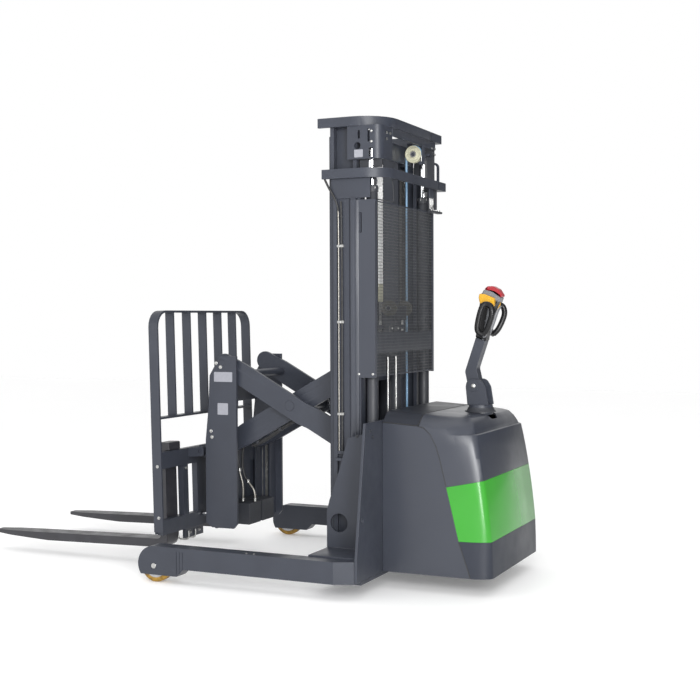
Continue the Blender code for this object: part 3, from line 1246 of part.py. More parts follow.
def add_reach_head(truck):
    x0 = FRONT_PLATE_REAR_X
    y0 = FRONT_PLATE_Y - FRONT_PLATE_THICK / 2
    y1 = FRONT_PLATE_Y + FRONT_PLATE_THICK / 2
    outline = (
        (x0, 0.205), (x0 + 0.020, FRAME_LOW_Z), (x0 + 0.140, FRAME_LOW_Z), (x0 + 0.172, 0.205),
        (x0 + 0.172, 0.605), (x0 + 0.155, 0.770), (x0 + 0.148, 0.920), (x0 + 0.090, 1.013), (x0, 1.013),
    )
    plate = prism(outline, "XZ", y0, y1)
    bore = rod("Y", (FRONT_PIVOT_X, PIVOT_TOP_Z), PIN_R + RUN, y0 - 0.01, y1 + 0.01)
    plate = cut(plate, bore)
    channel_z = (FRAME_LOW_Z + 0.010, CHANNEL_TOP_Z)
    channel = block((FRONT_PIVOT_X - 0.045, FRONT_PIVOT_X + 0.045), (0.163, y0 + 0.001), channel_z)
    groove_z = (FRAME_LOW_Z, CHANNEL_TOP_Z + 0.01)
    groove = block((FRONT_PIVOT_X - 0.037, FRONT_PIVOT_X + 0.037), (0.15, y0 - 0.004), groove_z)
    channel = cut(channel, groove)
    front = block((x0 + 0.152, x0 + 0.162), (0.120, y0 + 0.001), (0.210, 0.600))
    left = union(plate, channel, front)
    right = mirrored(left)
    beam = block((FRONT_PIVOT_X + 0.020, FRONT_PIVOT_X + 0.031), (-y0 - 0.001, y0 + 0.001), (0.785, 0.880))
    web = block((x0 + 0.126, x0 + 0.137), (-0.118, 0.118), (0.215, 0.600))
    cross = []
    for z0, z1 in ((0.205, 0.290), (0.470, 0.610)):
        cross.append(block((x0 + 0.127, x0 + 0.1525), (-y0 - 0.001, y0 + 0.001), (z0, z1)))
    bores = []
    for side, sign in (("left", 1), ("right", -1)):
        ends = sorted((sign * 0.010, sign * TILT_HOUSING_HALF))
        box = block((x0 - 0.006, x0 + 0.1257), ends, (TILT_ROD_Z - 0.030, TILT_ROD_Z + 0.074))
        well = rod("X", (sign * TILT_ROD_Y, TILT_ROD_Z), TILT_ROD_R + RUN, x0 + 0.040, x0 + 0.18)
        bores.append(copy_of(well))
        truck.add("tilt_barrel_" + side, "reach_head", "dark_paint", cut(box, well))
    lugs = []
    for sign in (1, -1):
        ends = sorted((sign * 0.160, sign * 0.172))
        nose_x = TILT_PIVOT[0] + 0.020
        lugs.append(prism((
            (x0 + 0.1515, 0.500), (nose_x, 0.520), (nose_x, 0.570), (x0 + 0.1515, 0.590),
        ), "XZ", *ends))
        pin = sorted((sign * 0.140, sign * 0.192))
        lugs.append(rod("Y", TILT_PIVOT, TILT_PIN_R, pin[0], pin[1], 18))
    head = union(left, right, beam, web, *cross, *lugs)
    truck.add("reach_head_frame", "reach_head", "graphite", cut(head, *bores))


# Forks

def add_fork_carriage(truck):
    x0 = BAR_REAR_X
    x1 = x0 + BAR_DEPTH
    bars = []
    for z0, z1 in ((BAR_TOP_Z - 0.080, BAR_TOP_Z), (0.165, 0.235)):
        bars.append(block((x0, x1), (-BAR_HALF, BAR_HALF), (z0, z1)))
    for sign in (1, -1):
        for y0, y1 in ((0.030, 0.118), (0.200, 0.246)):
            ends = sorted((sign * y0, sign * y1))
            bars.append(block((x0 + 0.001, x1 - 0.001), ends, (0.220, 0.500)))
        ends = sorted((sign * 0.070, sign * 0.235))
        bars.append(block((x0 + 0.004, x1 - 0.012), ends, (0.118, 0.170)))
    knuckles = []
    for sign in (1, -1):
        for inner in (0.135, 0.176):
            ends = sorted((sign * inner, sign * (inner + 0.021)))
            tail_x = TILT_PIVOT[0] - 0.022
            knuckle = rounded((
                (tail_x, TILT_PIVOT[1] - 0.024), (x0 + 0.002, TILT_PIVOT[1] - 0.030),
                (x0 + 0.002, TILT_PIVOT[1] + 0.012), (tail_x, TILT_PIVOT[1] + 0.024),
            ), (0.015, 0, 0, 0.015), 3)
            knuckles.append(prism(knuckle, "XZ", *ends))
    frame = union(*bars, *knuckles)
    bores = []
    for sign in (1, -1):
        ends = sorted((sign * 0.12, sign * 0.21))
        bores.append(rod("Y", TILT_PIVOT, TILT_PIN_R + RUN, ends[0], ends[1], 18))
    truck.add("fork_carriage", "forks", "graphite", cut(frame, *bores))


def add_backrest(truck):
    bar_face = BAR_REAR_X + BAR_DEPTH + GAP
    x0 = bar_face - BACKREST_SETBACK
    x1 = x0 + BACKREST_BAR
    t = BACKREST_THICK
    outer = rounded(((-BACKREST_HALF, 0.180), (BACKREST_HALF, 0.180), (BACKREST_HALF, BACKREST_TOP_Z),
                     (-BACKREST_HALF, BACKREST_TOP_Z)), (0, 0, 0.080, 0.080), 6)
    frame = prism(outer, "YZ", x0, x1)
    within = BACKREST_HALF - t
    inner = rounded((
        (-within, 0.10), (within, 0.10), (within, BACKREST_TOP_Z - t), (-within, BACKREST_TOP_Z - t),
    ), (0, 0, 0.080 - t, 0.080 - t), 6)
    frame = cut(frame, prism(inner, "YZ", x0 - 0.01, x1 + 0.01))
    parts = [block((x0 + 0.001, x1 - 0.001), (-BACKREST_HALF + 0.001, BACKREST_HALF - 0.001),
                   (BACKREST_LOW_Z, BACKREST_LOW_Z + t))]
    pitch = 2 * BACKREST_HALF / (BACKREST_SLATS + 1)
    for i in range(BACKREST_SLATS):
        y = -BACKREST_HALF + pitch * (i + 1)
        parts.append(block((x0 + 0.002, x1 - 0.002), (y - t / 2, y + t / 2),
                           (BACKREST_LOW_Z + 0.001, BACKREST_TOP_Z - 0.001)))
    for z in (0.200, 0.520):
        for sign in (1, -1):
            ends = sorted((sign * (FORK_Y + FORK_WIDTH / 2 + 0.002), sign * (BACKREST_HALF - 0.001)))
            parts.append(block((bar_face, bar_face + 0.008), ends, (z - 0.030, z + 0.030)))
    truck.add("load_backrest", "forks", "graphite", union(frame, *parts))


def add_forks(truck):
    """Bent blades: a shank on the bars and a blade that thins to its tip."""
    x1 = FORK_FACE_X
    x0 = BAR_REAR_X + BAR_DEPTH + GAP
    low = FORK_HEEL_Z - FORK_THICK / 2
    hook_top = BAR_TOP_Z + 0.040
    hook_x = BAR_REAR_X + 0.008
    outline = rounded((
        (x0, low), (FORK_TIP_X - 0.35, low), (FORK_TIP_X, low + 0.022), (FORK_TIP_X, low + 0.040),
        (x1, low + FORK_THICK), (x1, hook_top), (hook_x, hook_top), (hook_x, BAR_TOP_Z + GAP),
        (x0, BAR_TOP_Z + GAP),
    ), (0.040, 0, 0.004, 0.004, 0.020, 0.006, 0.006, 0, 0), 4)
    for side, sign in (("left", 1), ("right", -1)):
        y = sign * FORK_Y
        blade = prism(outline, "XZ", y - FORK_WIDTH / 2, y + FORK_WIDTH / 2)
        taper = 0.30
        tools = []
        for edge in (1, -1):
            ya = y + edge * (FORK_WIDTH / 2 + 0.002)
            yb = y + edge * FORK_WIDTH * 0.22
            tools.append(prism((
                (FORK_TIP_X - taper, ya), (FORK_TIP_X - taper * 0.35, y + edge * FORK_WIDTH * 0.44),
                (FORK_TIP_X + 0.01, yb), (FORK_TIP_X + 0.01, ya),
            ), "XY", 0.0, 0.3))
        truck.add("fork_" + side, "forks", "fork_black", cut(blade, *tools))


def add_tilt_rods(truck):
    x0 = FRONT_PLATE_REAR_X
    lean = (TILT_PIVOT[1] - TILT_ROD_Z + TILT_NOSE_R) * math.tan(TILT_REST)
    seat = BAR_REAR_X - lean - TILT_PLAY
    for side, sign in (("left", 1), ("right", -1)):
        piston = turned("X", (sign * TILT_ROD_Y, TILT_ROD_Z), (
            (x0 + 0.060, TILT_ROD_R), (seat - 0.005, TILT_ROD_R), (seat, TILT_NOSE_R),
        ), 16)
        truck.add("tilt_rod_" + side, "tilt_rods", "chrome", piston)


def build():
    clear_scene()
    truck = Truck()
    for step in (
        add_legs, add_load_wheels, add_base, add_gussets, add_hood, add_tray, add_drive,
        add_tiller, add_outer_stage, add_guard, add_lift_chains, add_lift_cylinders,
        add_middle_stage, add_inner_stage, add_crosshead, add_carriage, add_inner_arms,
        add_outer_arms, add_reach_cylinder, add_reach_head, add_fork_carriage,
        add_backrest, add_forks, add_tilt_rods,
    ):
        step(truck)


build()
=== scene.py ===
"""Looks of a walkie reach truck: painted steel, moulded covers, mesh guard, chains and hoses.

Laid out as an add-on and run as a script: each operator finishes one part of the truck.
Places are given in the truck's layout frame, X from the mast's front, Y to its left, Z up.
"""
import json
import math

import bmesh
import bpy
from mathutils import Matrix, Vector


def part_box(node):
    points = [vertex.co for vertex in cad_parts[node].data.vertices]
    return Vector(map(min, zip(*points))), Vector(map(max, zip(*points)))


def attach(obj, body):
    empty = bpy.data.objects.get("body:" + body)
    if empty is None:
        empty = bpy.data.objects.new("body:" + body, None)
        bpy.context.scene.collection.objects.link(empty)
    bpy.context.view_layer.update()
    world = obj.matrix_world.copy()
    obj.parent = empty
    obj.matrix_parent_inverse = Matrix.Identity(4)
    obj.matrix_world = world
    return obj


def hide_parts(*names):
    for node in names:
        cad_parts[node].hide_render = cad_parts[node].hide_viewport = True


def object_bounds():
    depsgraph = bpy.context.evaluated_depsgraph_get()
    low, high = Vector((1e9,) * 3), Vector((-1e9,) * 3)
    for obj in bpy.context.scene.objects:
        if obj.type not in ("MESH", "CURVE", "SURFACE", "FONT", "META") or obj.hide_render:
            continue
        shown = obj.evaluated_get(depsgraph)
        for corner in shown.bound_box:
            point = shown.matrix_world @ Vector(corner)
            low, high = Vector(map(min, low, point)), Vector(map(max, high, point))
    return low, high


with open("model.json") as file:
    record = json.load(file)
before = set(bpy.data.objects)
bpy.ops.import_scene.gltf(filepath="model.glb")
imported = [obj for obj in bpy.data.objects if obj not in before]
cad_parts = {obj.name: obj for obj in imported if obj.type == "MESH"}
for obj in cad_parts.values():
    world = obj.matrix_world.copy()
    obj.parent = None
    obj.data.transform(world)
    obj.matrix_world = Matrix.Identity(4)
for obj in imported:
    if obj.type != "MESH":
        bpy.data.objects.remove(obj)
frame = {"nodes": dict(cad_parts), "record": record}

bl_info = {
    "name": "Walkie Reach Truck Finish",
    "version": (1, 0, 0),
    "blender": (4, 5, 0),
    "location": "3D View > Sidebar > Truck",
    "description": "Finishes the solids of a walkie reach truck with paint, mesh, chains and hoses",
    "category": "Object",
}

CAD_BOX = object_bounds()
UPRIGHT_REAR_X = -0.167
ZERO_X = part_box("outer_upright_left")[0].x - UPRIGHT_REAR_X
SMOOTH_ANGLE = math.radians(40)
BEVEL_ANGLE = math.radians(32)
FLAT_ANGLE = math.radians(0.6)
WELD_DISTANCE = 0.00002


# Sizes and colours that a user would change

def colour_choice(name, description, default):
    return bpy.props.FloatVectorProperty(
        name=name, description=description, subtype="COLOR", size=3, min=0, max=1, default=default,
    )


def length_choice(name, description, least, default):
    return bpy.props.FloatProperty(
        name=name, description=description, unit="LENGTH", min=least, default=default,
    )


class TruckPaint(bpy.types.PropertyGroup):
    body: colour_choice("Body paint", "Colour of mast, chassis and covers", (0.031, 0.035, 0.047))
    band: colour_choice("Band", "Colour of the band round the rear cover", (0.034, 0.245, 0.024))
    forks: colour_choice("Forks", "Colour of the fork blades", (0.026, 0.026, 0.031))
    wheels: colour_choice("Load wheels", "Colour of the polyurethane tread", (0.27, 0.15, 0.014))
    roughness: bpy.props.FloatProperty(
        name="Paint roughness", description="How matt the body paint is", min=0, max=1, default=0.4,
    )


class TruckDetail(bpy.types.PropertyGroup):
    edge: length_choice("Edge rounding", "Radius on the edges of welded steel", 0.0, 0.0015)
    mesh_pitch: length_choice(
        "Mesh pitch", "Spacing of the wires in the guard behind the mast", 0.004, 0.014,
    )
    wire: length_choice("Mesh wire", "Diameter of the guard's wires", 0.0005, 0.0022)
    chain_pitch: length_choice(
        "Chain pitch", "Distance between the pins of the lifting chains", 0.008, 0.0159,
    )


# Places

def at(x, y, z):
    """A place in the layout frame as a place in the scene."""
    return Vector((ZERO_X + x, y, z))


def span(sign, near, far):
    """Two places on one side of the middle, the lower one first."""
    return sorted((sign * near, sign * far))


def quad(a, b):
    """The four corners that two ranges span."""
    return ((a[0], b[0]), (a[1], b[0]), (a[1], b[1]), (a[0], b[1]))


def flipped(profile):
    """The other side of a profile of (place, radius) about its middle."""
    return [(-place, radius) for place, radius in reversed(profile)]


def add_object(name, data):
    made = bpy.data.objects.new(name, data)
    bpy.context.scene.collection.objects.link(made)
    return made


def evaluated_mesh(thing):
    """The object's mesh as its modifiers make it."""
    bpy.context.view_layer.update()
    graph = bpy.context.evaluated_depsgraph_get()
    return bpy.data.meshes.new_from_object(thing.evaluated_get(graph))


def hang(made, body, replaces):
    """Hangs an object on the body that carries it and hides the nodes it stands for."""
    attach(made, body)
    if replaces:
        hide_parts(*replaces)


# Meshes

def ring(radius, sides, centre=(0.0, 0.0), start=0.0, turn=2 * math.pi):
    whole = abs(turn - 2 * math.pi) < 1e-9
    count = sides if whole else sides + 1
    step = turn / sides
    angles = (start + i * step for i in range(count))
    x, y = centre
    return [(x + radius * math.cos(a), y + radius * math.sin(a)) for a in angles]


def rounded(points, radii, steps=5):
    """A closed outline whose corners are arcs of the given radii."""
    out = []
    count = len(points)
    for i, (point, radius) in enumerate(zip(points, radii)):
        here = Vector(point)
        before = (Vector(points[i - 1]) - here).normalized()
        after = (Vector(points[(i + 1) % count]) - here).normalized()
        if radius <= 0:
            out.append(tuple(here))
            continue
        half = before.angle(after) / 2
        centre = here + (before + after).normalized() * radius / math.sin(half)
        first = here + before * radius / math.tan(half) - centre
        last = here + after * radius / math.tan(half) - centre
        sweep = first.angle(last)
        for k in range(steps + 1):
            share = k / steps
            spot = first * math.sin((1 - share) * sweep) + last * math.sin(share * sweep)
            out.append(tuple(centre + spot / math.sin(sweep)))
    return out


def inset(outline, distance):
    """A closed outline moved inwards by a distance, corner by corner."""
    count = len(outline)
    area = sum(
        outline[i - 1][0] * outline[i][1] - outline[i][0] * outline[i - 1][1] for i in range(count)
    )
    turn = 1 if area > 0 else -1
    out = []
    for i in range(count):
        here = Vector(outline[i])
        back = (here - Vector(outline[i - 1])).normalized()
        ahead = (Vector(outline[(i + 1) % count]) - here).normalized()
        side = Vector((-back.y - ahead.y, back.x + ahead.x)) * turn
        if side.length < 1e-9:
            side = Vector((-back.y, back.x)) * turn
        side.normalize()
        lean = max(0.35, side.dot(Vector((-back.y, back.x)) * turn))
        out.append(tuple(here + side * distance / lean))
    return out


PLANES = {
    "XZ": lambda a, b, c: Vector((a, c, b)),
    "XY": lambda a, b, c: Vector((a, b, c)),
    "YZ": lambda a, b, c: Vector((c, a, b)),
}
HEAD_SPIN = 0.3
AXIS_PLANE = {"Y": "XZ", "Z": "XY"}


class Piece:
    """One mesh in the making, in the layout frame; each shape in it has one finish."""

    def __init__(self, *finishes):
        self.bm = bmesh.new()
        self.finishes = finishes
        self.place = Matrix.Identity(4)

    def shell(self, rings, finish=0, looped=False):
        """Rings of as many points each, joined in order and closed at both ends."""
        laid = [[self.bm.verts.new(self.place @ Vector(p)) for p in points] for points in rings]
        pairs = list(zip(laid, laid[1:]))
        if looped:
            pairs.append((laid[-1], laid[0]))
        faces = []
        for low, high in pairs:
            count = len(low)
            for i in range(count):
                j = (i + 1) % count
                faces.append(self.bm.faces.new((low[i], low[j], high[j], high[i])))
        if not looped:
            faces += [self.bm.faces.new(laid[0]), self.bm.faces.new(laid[-1])]
        for face in faces:
            face.material_index = finish
        return faces

    def prism(self, outline, plane, low, high, edge=0.0, finish=0):
        lay = PLANES[plane]
        if edge <= 0:
            levels = ((low, outline), (high, outline))
        else:
            small = inset(outline, edge)
            levels = ((low, small), (low + edge, outline), (high - edge, outline), (high, small))
        return self.shell([[lay(a, b, level) for a, b in line] for level, line in levels], finish)

    def block(self, x, y, z, edge=0.001, finish=0):
        outline = rounded(quad(x, z), (edge,) * 4, 2) if edge > 0 else quad(x, z)
        return self.prism(outline, "XZ", y[0], y[1], edge, finish)

    def rod(self, axis, centre, radius, low, high, sides=24, edge=0.0, finish=0):
        return self.prism(ring(radius, sides, centre), AXIS_PLANE[axis], low, high, edge, finish)

    def turned(self, axis, centre, profile, sides=32, finish=0, looped=False, middle=0.0):
        """A body of revolution: profile is (place along the axis from the middle, radius)."""
        lay = PLANES[AXIS_PLANE[axis]]
        rings = [
            [lay(a, b, middle + level) for a, b in ring(radius, sides, centre)]
            for level, radius in profile
        ]
        return self.shell(rings, finish, looped=looped)

    def sweep(self, points, radii, sides, finish):
        """Rings of the given radii round a path."""
        rings = []
        up = None
        for i, (point, radius) in enumerate(zip(points, radii)):
            ahead = (points[min(i + 1, len(points) - 1)] - points[max(i - 1, 0)]).normalized()
            if up is None:
                up = ahead.orthogonal().normalized()
            up = (up - ahead * up.dot(ahead)).normalized()
            across = ahead.cross(up)
            rings.append([
                point + (up * math.cos(t) + across * math.sin(t)) * radius
                for t in (2 * math.pi * k / sides for k in range(sides))
            ])
        return self.shell(rings, finish)

    def tube(self, route, radius, sides=12, finish=0, steps=8, straight=False):
        """A round hose or bar along a route, smooth between its points unless straight."""
        points = [Vector(p) for p in route]
        if not straight:
            points = through(points, steps)
        return self.sweep(points, [radius] * len(points), sides, finish)

    def toward(self, spot, direction, spin=0.0):
        """Shapes that follow are drawn from the origin along +Z, and laid at spot."""
        turn = Vector(direction).to_track_quat("Z", "Y").to_matrix().to_4x4()
        self.place = Matrix.Translation(Vector(spot)) @ turn @ Matrix.Rotation(spin, 4, "Z")

    def home(self):
        self.place = Matrix.Identity(4)

    def bolt(self, spot, direction, size, finish=0, washer=True):
        """A hexagon head on its washer; size is the thread's."""
        self.toward(spot, direction, HEAD_SPIN)
        base = 0.0
        if washer:
            thick = size * 0.18
            wide = size * 1.05
            washer_side = ((0, wide), (thick * 0.7, wide), (thick, size * 0.98))
            self.turned("Z", (0, 0), washer_side, 20, finish)
            base = thick
        high = base + size * 0.62
        chamfer = size * 0.1
        flat = size * 0.86
        self.shell([
            [(a, b, base) for a, b in ring(flat, 6)],
            [(a, b, high - chamfer) for a, b in ring(flat, 6)],
            [(a, b, high) for a, b in ring(flat - chamfer * 1.6, 6)],
        ], finish)
        self.home()

    def bolts(self, table, side=None, finish=0):
        """A bolt at each place and at its mirror image, facing outwards unless a side is given."""
        size, spots = table
        for x, y, z in spots:
            for sign in (1, -1):
                self.bolt((x, sign * y, z), side or (0, sign, 0), size, finish)

    def weld(self, route, radius=0.003, finish=0):
        """A bead with its ripples along a route of straight runs."""
        points = [Vector(p) for p in route]
        spine = []
        for start, end in zip(points, points[1:]):
            count = max(2, int((end - start).length / (radius * 0.9)))
            spine += [start.lerp(end, k / count) for k in range(count)]
        spine.append(points[-1])
        radii = [radius * (1.0 + 0.1 * math.cos(i * 2.1)) for i in range(len(spine))]
        radii[0] = radii[-1] = radius * 0.4
        return self.sweep(spine, radii, 6, finish)

    def bare(self, name):
        """The mesh as an object with nothing said of it."""
        bmesh.ops.recalc_face_normals(self.bm, faces=self.bm.faces)
        bmesh.ops.translate(self.bm, verts=self.bm.verts, vec=(ZERO_X, 0, 0))
        mesh = bpy.data.meshes.new(name)
        self.bm.to_mesh(mesh)
        self.bm.free()
        return add_object(name, mesh)

    def done(self, name, body, slot, replaces=()):
        """Makes the object, hangs it on its body and says what it stands for."""
        made = self.bare(name)
        for finish in self.finishes:
            made.data.materials.append(finish)
        made.data.shade_smooth()
        made.data.set_sharp_from_angle(angle=SMOOTH_ANGLE)
        hang(made, body, replaces)


def through(points, steps):
    """Points on a smooth curve through the given ones."""
    out = []
    last = len(points) - 1
    for i in range(last):
        a = points[max(i - 1, 0)]
        b = points[i]
        c = points[i + 1]
        d = points[min(i + 2, last)]
        for k in range(steps):
            t = k / steps
            out.append(
                (b * 2 + (c - a) * t + (a * 2 - b * 5 + c * 4 - d) * t ** 2
                 + (b * 3 - a - c * 3 + d) * t ** 3) / 2
            )
    out.append(points[-1])
    return out


# Materials

def map_range(tree, source, target):
    """A node that stretches one range of values over another."""
    node = tree.nodes.new("ShaderNodeMapRange")
    for name, ends in (("From", source), ("To", target)):
        node.inputs[name + " Min"].default_value = ends[0]
        node.inputs[name + " Max"].default_value = ends[1]
    return node


class Finish:
    """A Principled material built from object-space noise."""

    def __init__(self, name, colour, roughness, metallic=0.0):
        self.material = bpy.data.materials.new(name)
        self.material.use_nodes = True
        self.tree = self.material.node_tree
        self.shader = self.tree.nodes["Principled BSDF"]
        self.shader.inputs["Base Color"].default_value = (*colour, 1.0)
        self.shader.inputs["Roughness"].default_value = roughness
        self.shader.inputs["Metallic"].default_value = metallic
        self.material.diffuse_color = (*colour, 1.0)
        self.colour = colour
        self.roughness = roughness
        self.coords = self.tree.nodes.new("ShaderNodeTexCoord")
        self.height = None

    def link(self, out, into):
        self.tree.links.new(out, into)

    def noise(self, scale, detail, stretch=(1.0, 1.0, 1.0)):
        mapping = self.tree.nodes.new("ShaderNodeMapping")
        mapping.inputs["Scale"].default_value = stretch
        node = self.tree.nodes.new("ShaderNodeTexNoise")
        node.inputs["Scale"].default_value = scale
        node.inputs["Detail"].default_value = detail
        self.link(self.coords.outputs["Object"], mapping.inputs["Vector"])
        self.link(mapping.outputs["Vector"], node.inputs["Vector"])
        return node.outputs["Fac"]

    def mottle(self, spread, scale):
        """Slow changes of shade across a surface."""
        node = self.tree.nodes.new("ShaderNodeValToRGB")
        stops = ((0.32, 1 - spread), (0.68, 1 + spread))
        for element, (spot, share) in zip(node.color_ramp.elements, stops):
            element.position = spot
            element.color = (*(min(1.0, c * share) for c in self.colour), 1.0)
        self.link(self.noise(scale, 4.0), node.inputs["Fac"])
        self.link(node.outputs["Color"], self.shader.inputs["Base Color"])
        return self

    def patches(self, spread, scale, detail=5.0, stretch=(1.0, 1.0, 1.0)):
        """Gloss that wanders a little, as handled and cleaned surfaces do."""
        target = (max(0.0, self.roughness - spread), min(1.0, self.roughness + spread))
        node = map_range(self.tree, (0.3, 0.7), target)
        self.link(self.noise(scale, detail, stretch), node.inputs["Value"])
        self.link(node.outputs["Result"], self.shader.inputs["Roughness"])
        return self

    def relief(self, scale, depth, detail=2.0):
        """Fine relief, such as orange peel in paint; depth in metres."""
        bump = self.tree.nodes.new("ShaderNodeBump")
        bump.inputs["Strength"].default_value = 1.0
        bump.inputs["Distance"].default_value = depth
        self.link(self.noise(scale, detail), bump.inputs["Height"])
        if self.height:
            self.link(self.height, bump.inputs["Normal"])
        self.height = bump.outputs["Normal"]
        self.link(self.height, self.shader.inputs["Normal"])
        return self

    def shine(self, level):
        self.shader.inputs["Specular IOR Level"].default_value = level
        return self

    def coat(self, weight, roughness):
        self.shader.inputs["Coat Weight"].default_value = weight
        self.shader.inputs["Coat Roughness"].default_value = roughness
        return self


def painted(name, colour, roughness):
    """Powder coat: fine orange peel, a little change of shade and gloss."""
    return (
        Finish(name, colour, roughness).mottle(0.07, 6.0).patches(0.06, 14.0)
        .relief(520.0, 0.00006).relief(60.0, 0.00012, 1.0).shine(0.4)
    )


def cover_coat(name, colour, roughness, shine):
    """The smoother paint of the covers."""
    return (
        Finish(name, colour, roughness).mottle(0.05, 3.0).patches(0.05, 9.0)
        .relief(640.0, 0.00005).shine(shine)
    )


# Key, material, colour, roughness, metallic, spread and scale of mottle and of patches, relief
PLAIN_FINISHES = (
    ("zinc", "zinc_plate", (0.46, 0.46, 0.45), 0.34, 1.0, (0.12, 60), (0.1, 90), (900, 0.00003)),
    ("steel", "bare_steel", (0.42, 0.42, 0.43), 0.38, 1.0, (0.15, 40), (0.1, 60), None),
    # The left chain is light steel raised toward white for painted highlight; the right chain and
    # its anchor take a dark copy for painted shade.
    ("chain", "chain_steel_painted_highlight", (0.9, 0.9, 0.88), 0.36, 0.1, (0.18, 90), (0.12, 120), None),
    ("far_chain_shade", "chain_painted_shade", (0.06, 0.058, 0.055), 0.35, 0.6, (0.2, 50), (0.08, 60), None),
    ("pipe", "plated_pipe", (0.24, 0.23, 0.21), 0.34, 0.8, (0.04, 6), (0.02, 6), None),
    ("wire", "mesh_wire", (0.085, 0.088, 0.094), 0.34, 0.3, (0.12, 80), (0.06, 80), None),
    ("rubber", "hose_rubber", (0.016, 0.016, 0.017), 0.55, 0, (0.2, 50), (0.1, 70), (700, 0.00008)),
    ("moulded", "moulded_black", (0.007, 0.007, 0.008), 0.32, 0, (0.15, 40), (0.06, 60),
     (1500, 0.00003)),
    ("grey_moulded", "moulded_grey", (0.15, 0.154, 0.165), 0.36, 0, (0.08, 40), (0.06, 60),
     (1500, 0.00004)),
    ("yellow", "moulded_yellow", (0.56, 0.3, 0.012), 0.36, 0, (0.06, 50), (0.05, 60),
     (1500, 0.00003)),
    ("red", "moulded_red", (0.3, 0.012, 0.02), 0.34, 0, (0.08, 50), (0.05, 60), (1500, 0.00003)),
    ("cream", "cast_nylon", (0.43, 0.42, 0.31), 0.46, 0, (0.1, 40), (0.06, 60), (900, 0.00005)),
    ("sheave", "sheave_nylon", (0.06, 0.058, 0.048), 0.5, 0, (0.14, 40), (0.06, 60), None),
    ("blue_hose", "blue_hose", (0.15, 0.27, 0.4), 0.34, 0, (0.1, 60), (0.06, 60), None),
    ("label", "blank_label", (0.25, 0.255, 0.285), 0.42, 0, (0.04, 80), (0.05, 60), None),
)
# The rear skirt takes a darker copy of the body paint: painted shade on its rear face.
SKIRT_PAINTED_SHADE = 0.86
# The top cover takes a darker copy of the body paint: painted shade where its face catches less
# light.
TOP_PAINTED_SHADE = 0.62


def make_finishes():
    paint = bpy.context.scene.truck_paint
    body, rough = tuple(paint.body), paint.roughness
    made = {
        "body": painted("body_paint", body, rough),
        "dark": painted("frame_paint", (0.028, 0.03, 0.036), 0.5),
        "cover": cover_coat("cover_paint", body, rough - 0.06, 0.45).coat(0.15, 0.25),
        # The skirt's darker copy of the body paint is painted shade.
        "skirt": cover_coat("skirt_painted_shade", tuple(SKIRT_PAINTED_SHADE * c for c in body), rough, 0.2),
        # The top cover's darker copy of the body paint is painted shade.
        "cover_top": cover_coat("cover_top_painted_shade", tuple(TOP_PAINTED_SHADE * c for c in body), rough, 0.22),
        "band": Finish("band_paint", tuple(paint.band), 0.24).mottle(0.05, 4.0).patches(0.03, 9.0)
        .relief(480.0, 0.00002).coat(0.15, 0.06).shine(0.25),
        "fork": Finish("fork_paint", tuple(paint.forks), 0.44).mottle(0.16, 11.0)
        .patches(0.1, 18.0).relief(300.0, 0.00012, 4.0),
        "tread": Finish("wheel_tread", tuple(paint.wheels), 0.46).mottle(0.45, 42.0)
        .patches(0.08, 40.0).relief(420.0, 0.00008),
        "chrome": Finish("chromed_rod", (0.78, 0.79, 0.81), 0.12, 1.0)
        .patches(0.05, 30.0, 3.0, (1, 1, 0.2)),
        # Bright strips on the roller tracks: painted highlight of the channel's flanges.
        "track_highlight": Finish("track_painted_highlight", (0.34, 0.34, 0.33), 0.34, 0.8).mottle(0.25, 30.0)
        .patches(0.1, 30.0, 4.0, (1, 1, 0.1)),
    }
    for key, name, colour, roughness, metallic, mottle, patches, relief in PLAIN_FINISHES:
        made[key] = Finish(name, colour, roughness, metallic).mottle(*mottle).patches(*patches)
        if relief:
            made[key].relief(*relief)
    made["moulded"].shine(0.3)
    return {key: one.material for key, one in made.items()}


FINISHES = {}


def finish(name):
    if not FINISHES:
        FINISHES.update(make_finishes())
    return FINISHES[name]


def finished(*names):
    """An empty piece with the named finishes."""
    return Piece(*(finish(name) for name in names))


def pair(name):
    return name + "_left", name + "_right"


# The solids whose edges get rounded: finish, record slot, nodes
PLAIN_NODES = (
    ("body", "graphite", (
        "base_frame", *pair("leg"), *pair("mast_gusset"), "outer_tie", *pair("outer_upright"),
        "middle_mast", "inner_mast", "carriage_frame", "scissor_inner_arms", "scissor_outer_arms",
        "reach_head_frame", "fork_carriage", "load_backrest", "tiller_arm",
    )),
    ("fork", "fork_black", pair("fork")),
    ("dark", "dark_paint", ("chassis_tray", "drive_unit", *pair("tilt_barrel"), "reach_barrel")),
    ("moulded", "black_plastic", ("battery",)),
    ("dark", "steel", ("crosshead",)),
    ("chrome", "chrome", ("reach_rod", *pair("tilt_rod"))),
    # The top cover takes a darker copy of the body paint: painted shade.
    ("cover_top", "graphite", ("top_cover",)),
    ("cover", "graphite", (*pair("side_panel"), "rear_cover", *pair("side_cover"))),
    # The rear skirt takes a darker copy of the body paint: painted shade.
    ("skirt", "graphite", ("rear_skirt",)),
    ("band", "green", ("green_band",)),
    ("rubber", "rubber", ("drive_tyre",)),
)
# Parts whose edges are rounder or crisper than the welded steel's
NODE_ROUNDING = {
    "outer_upright_left": 3.2, "outer_upright_right": 3.2, "fork_left": 2.0, "fork_right": 2.0,
    "green_band": 0.6, "rear_cover": 0.6, "rear_skirt": 0.6,
}
CROSS_BAR_Z = (1.04, 1.13)
STRIP = 0.006
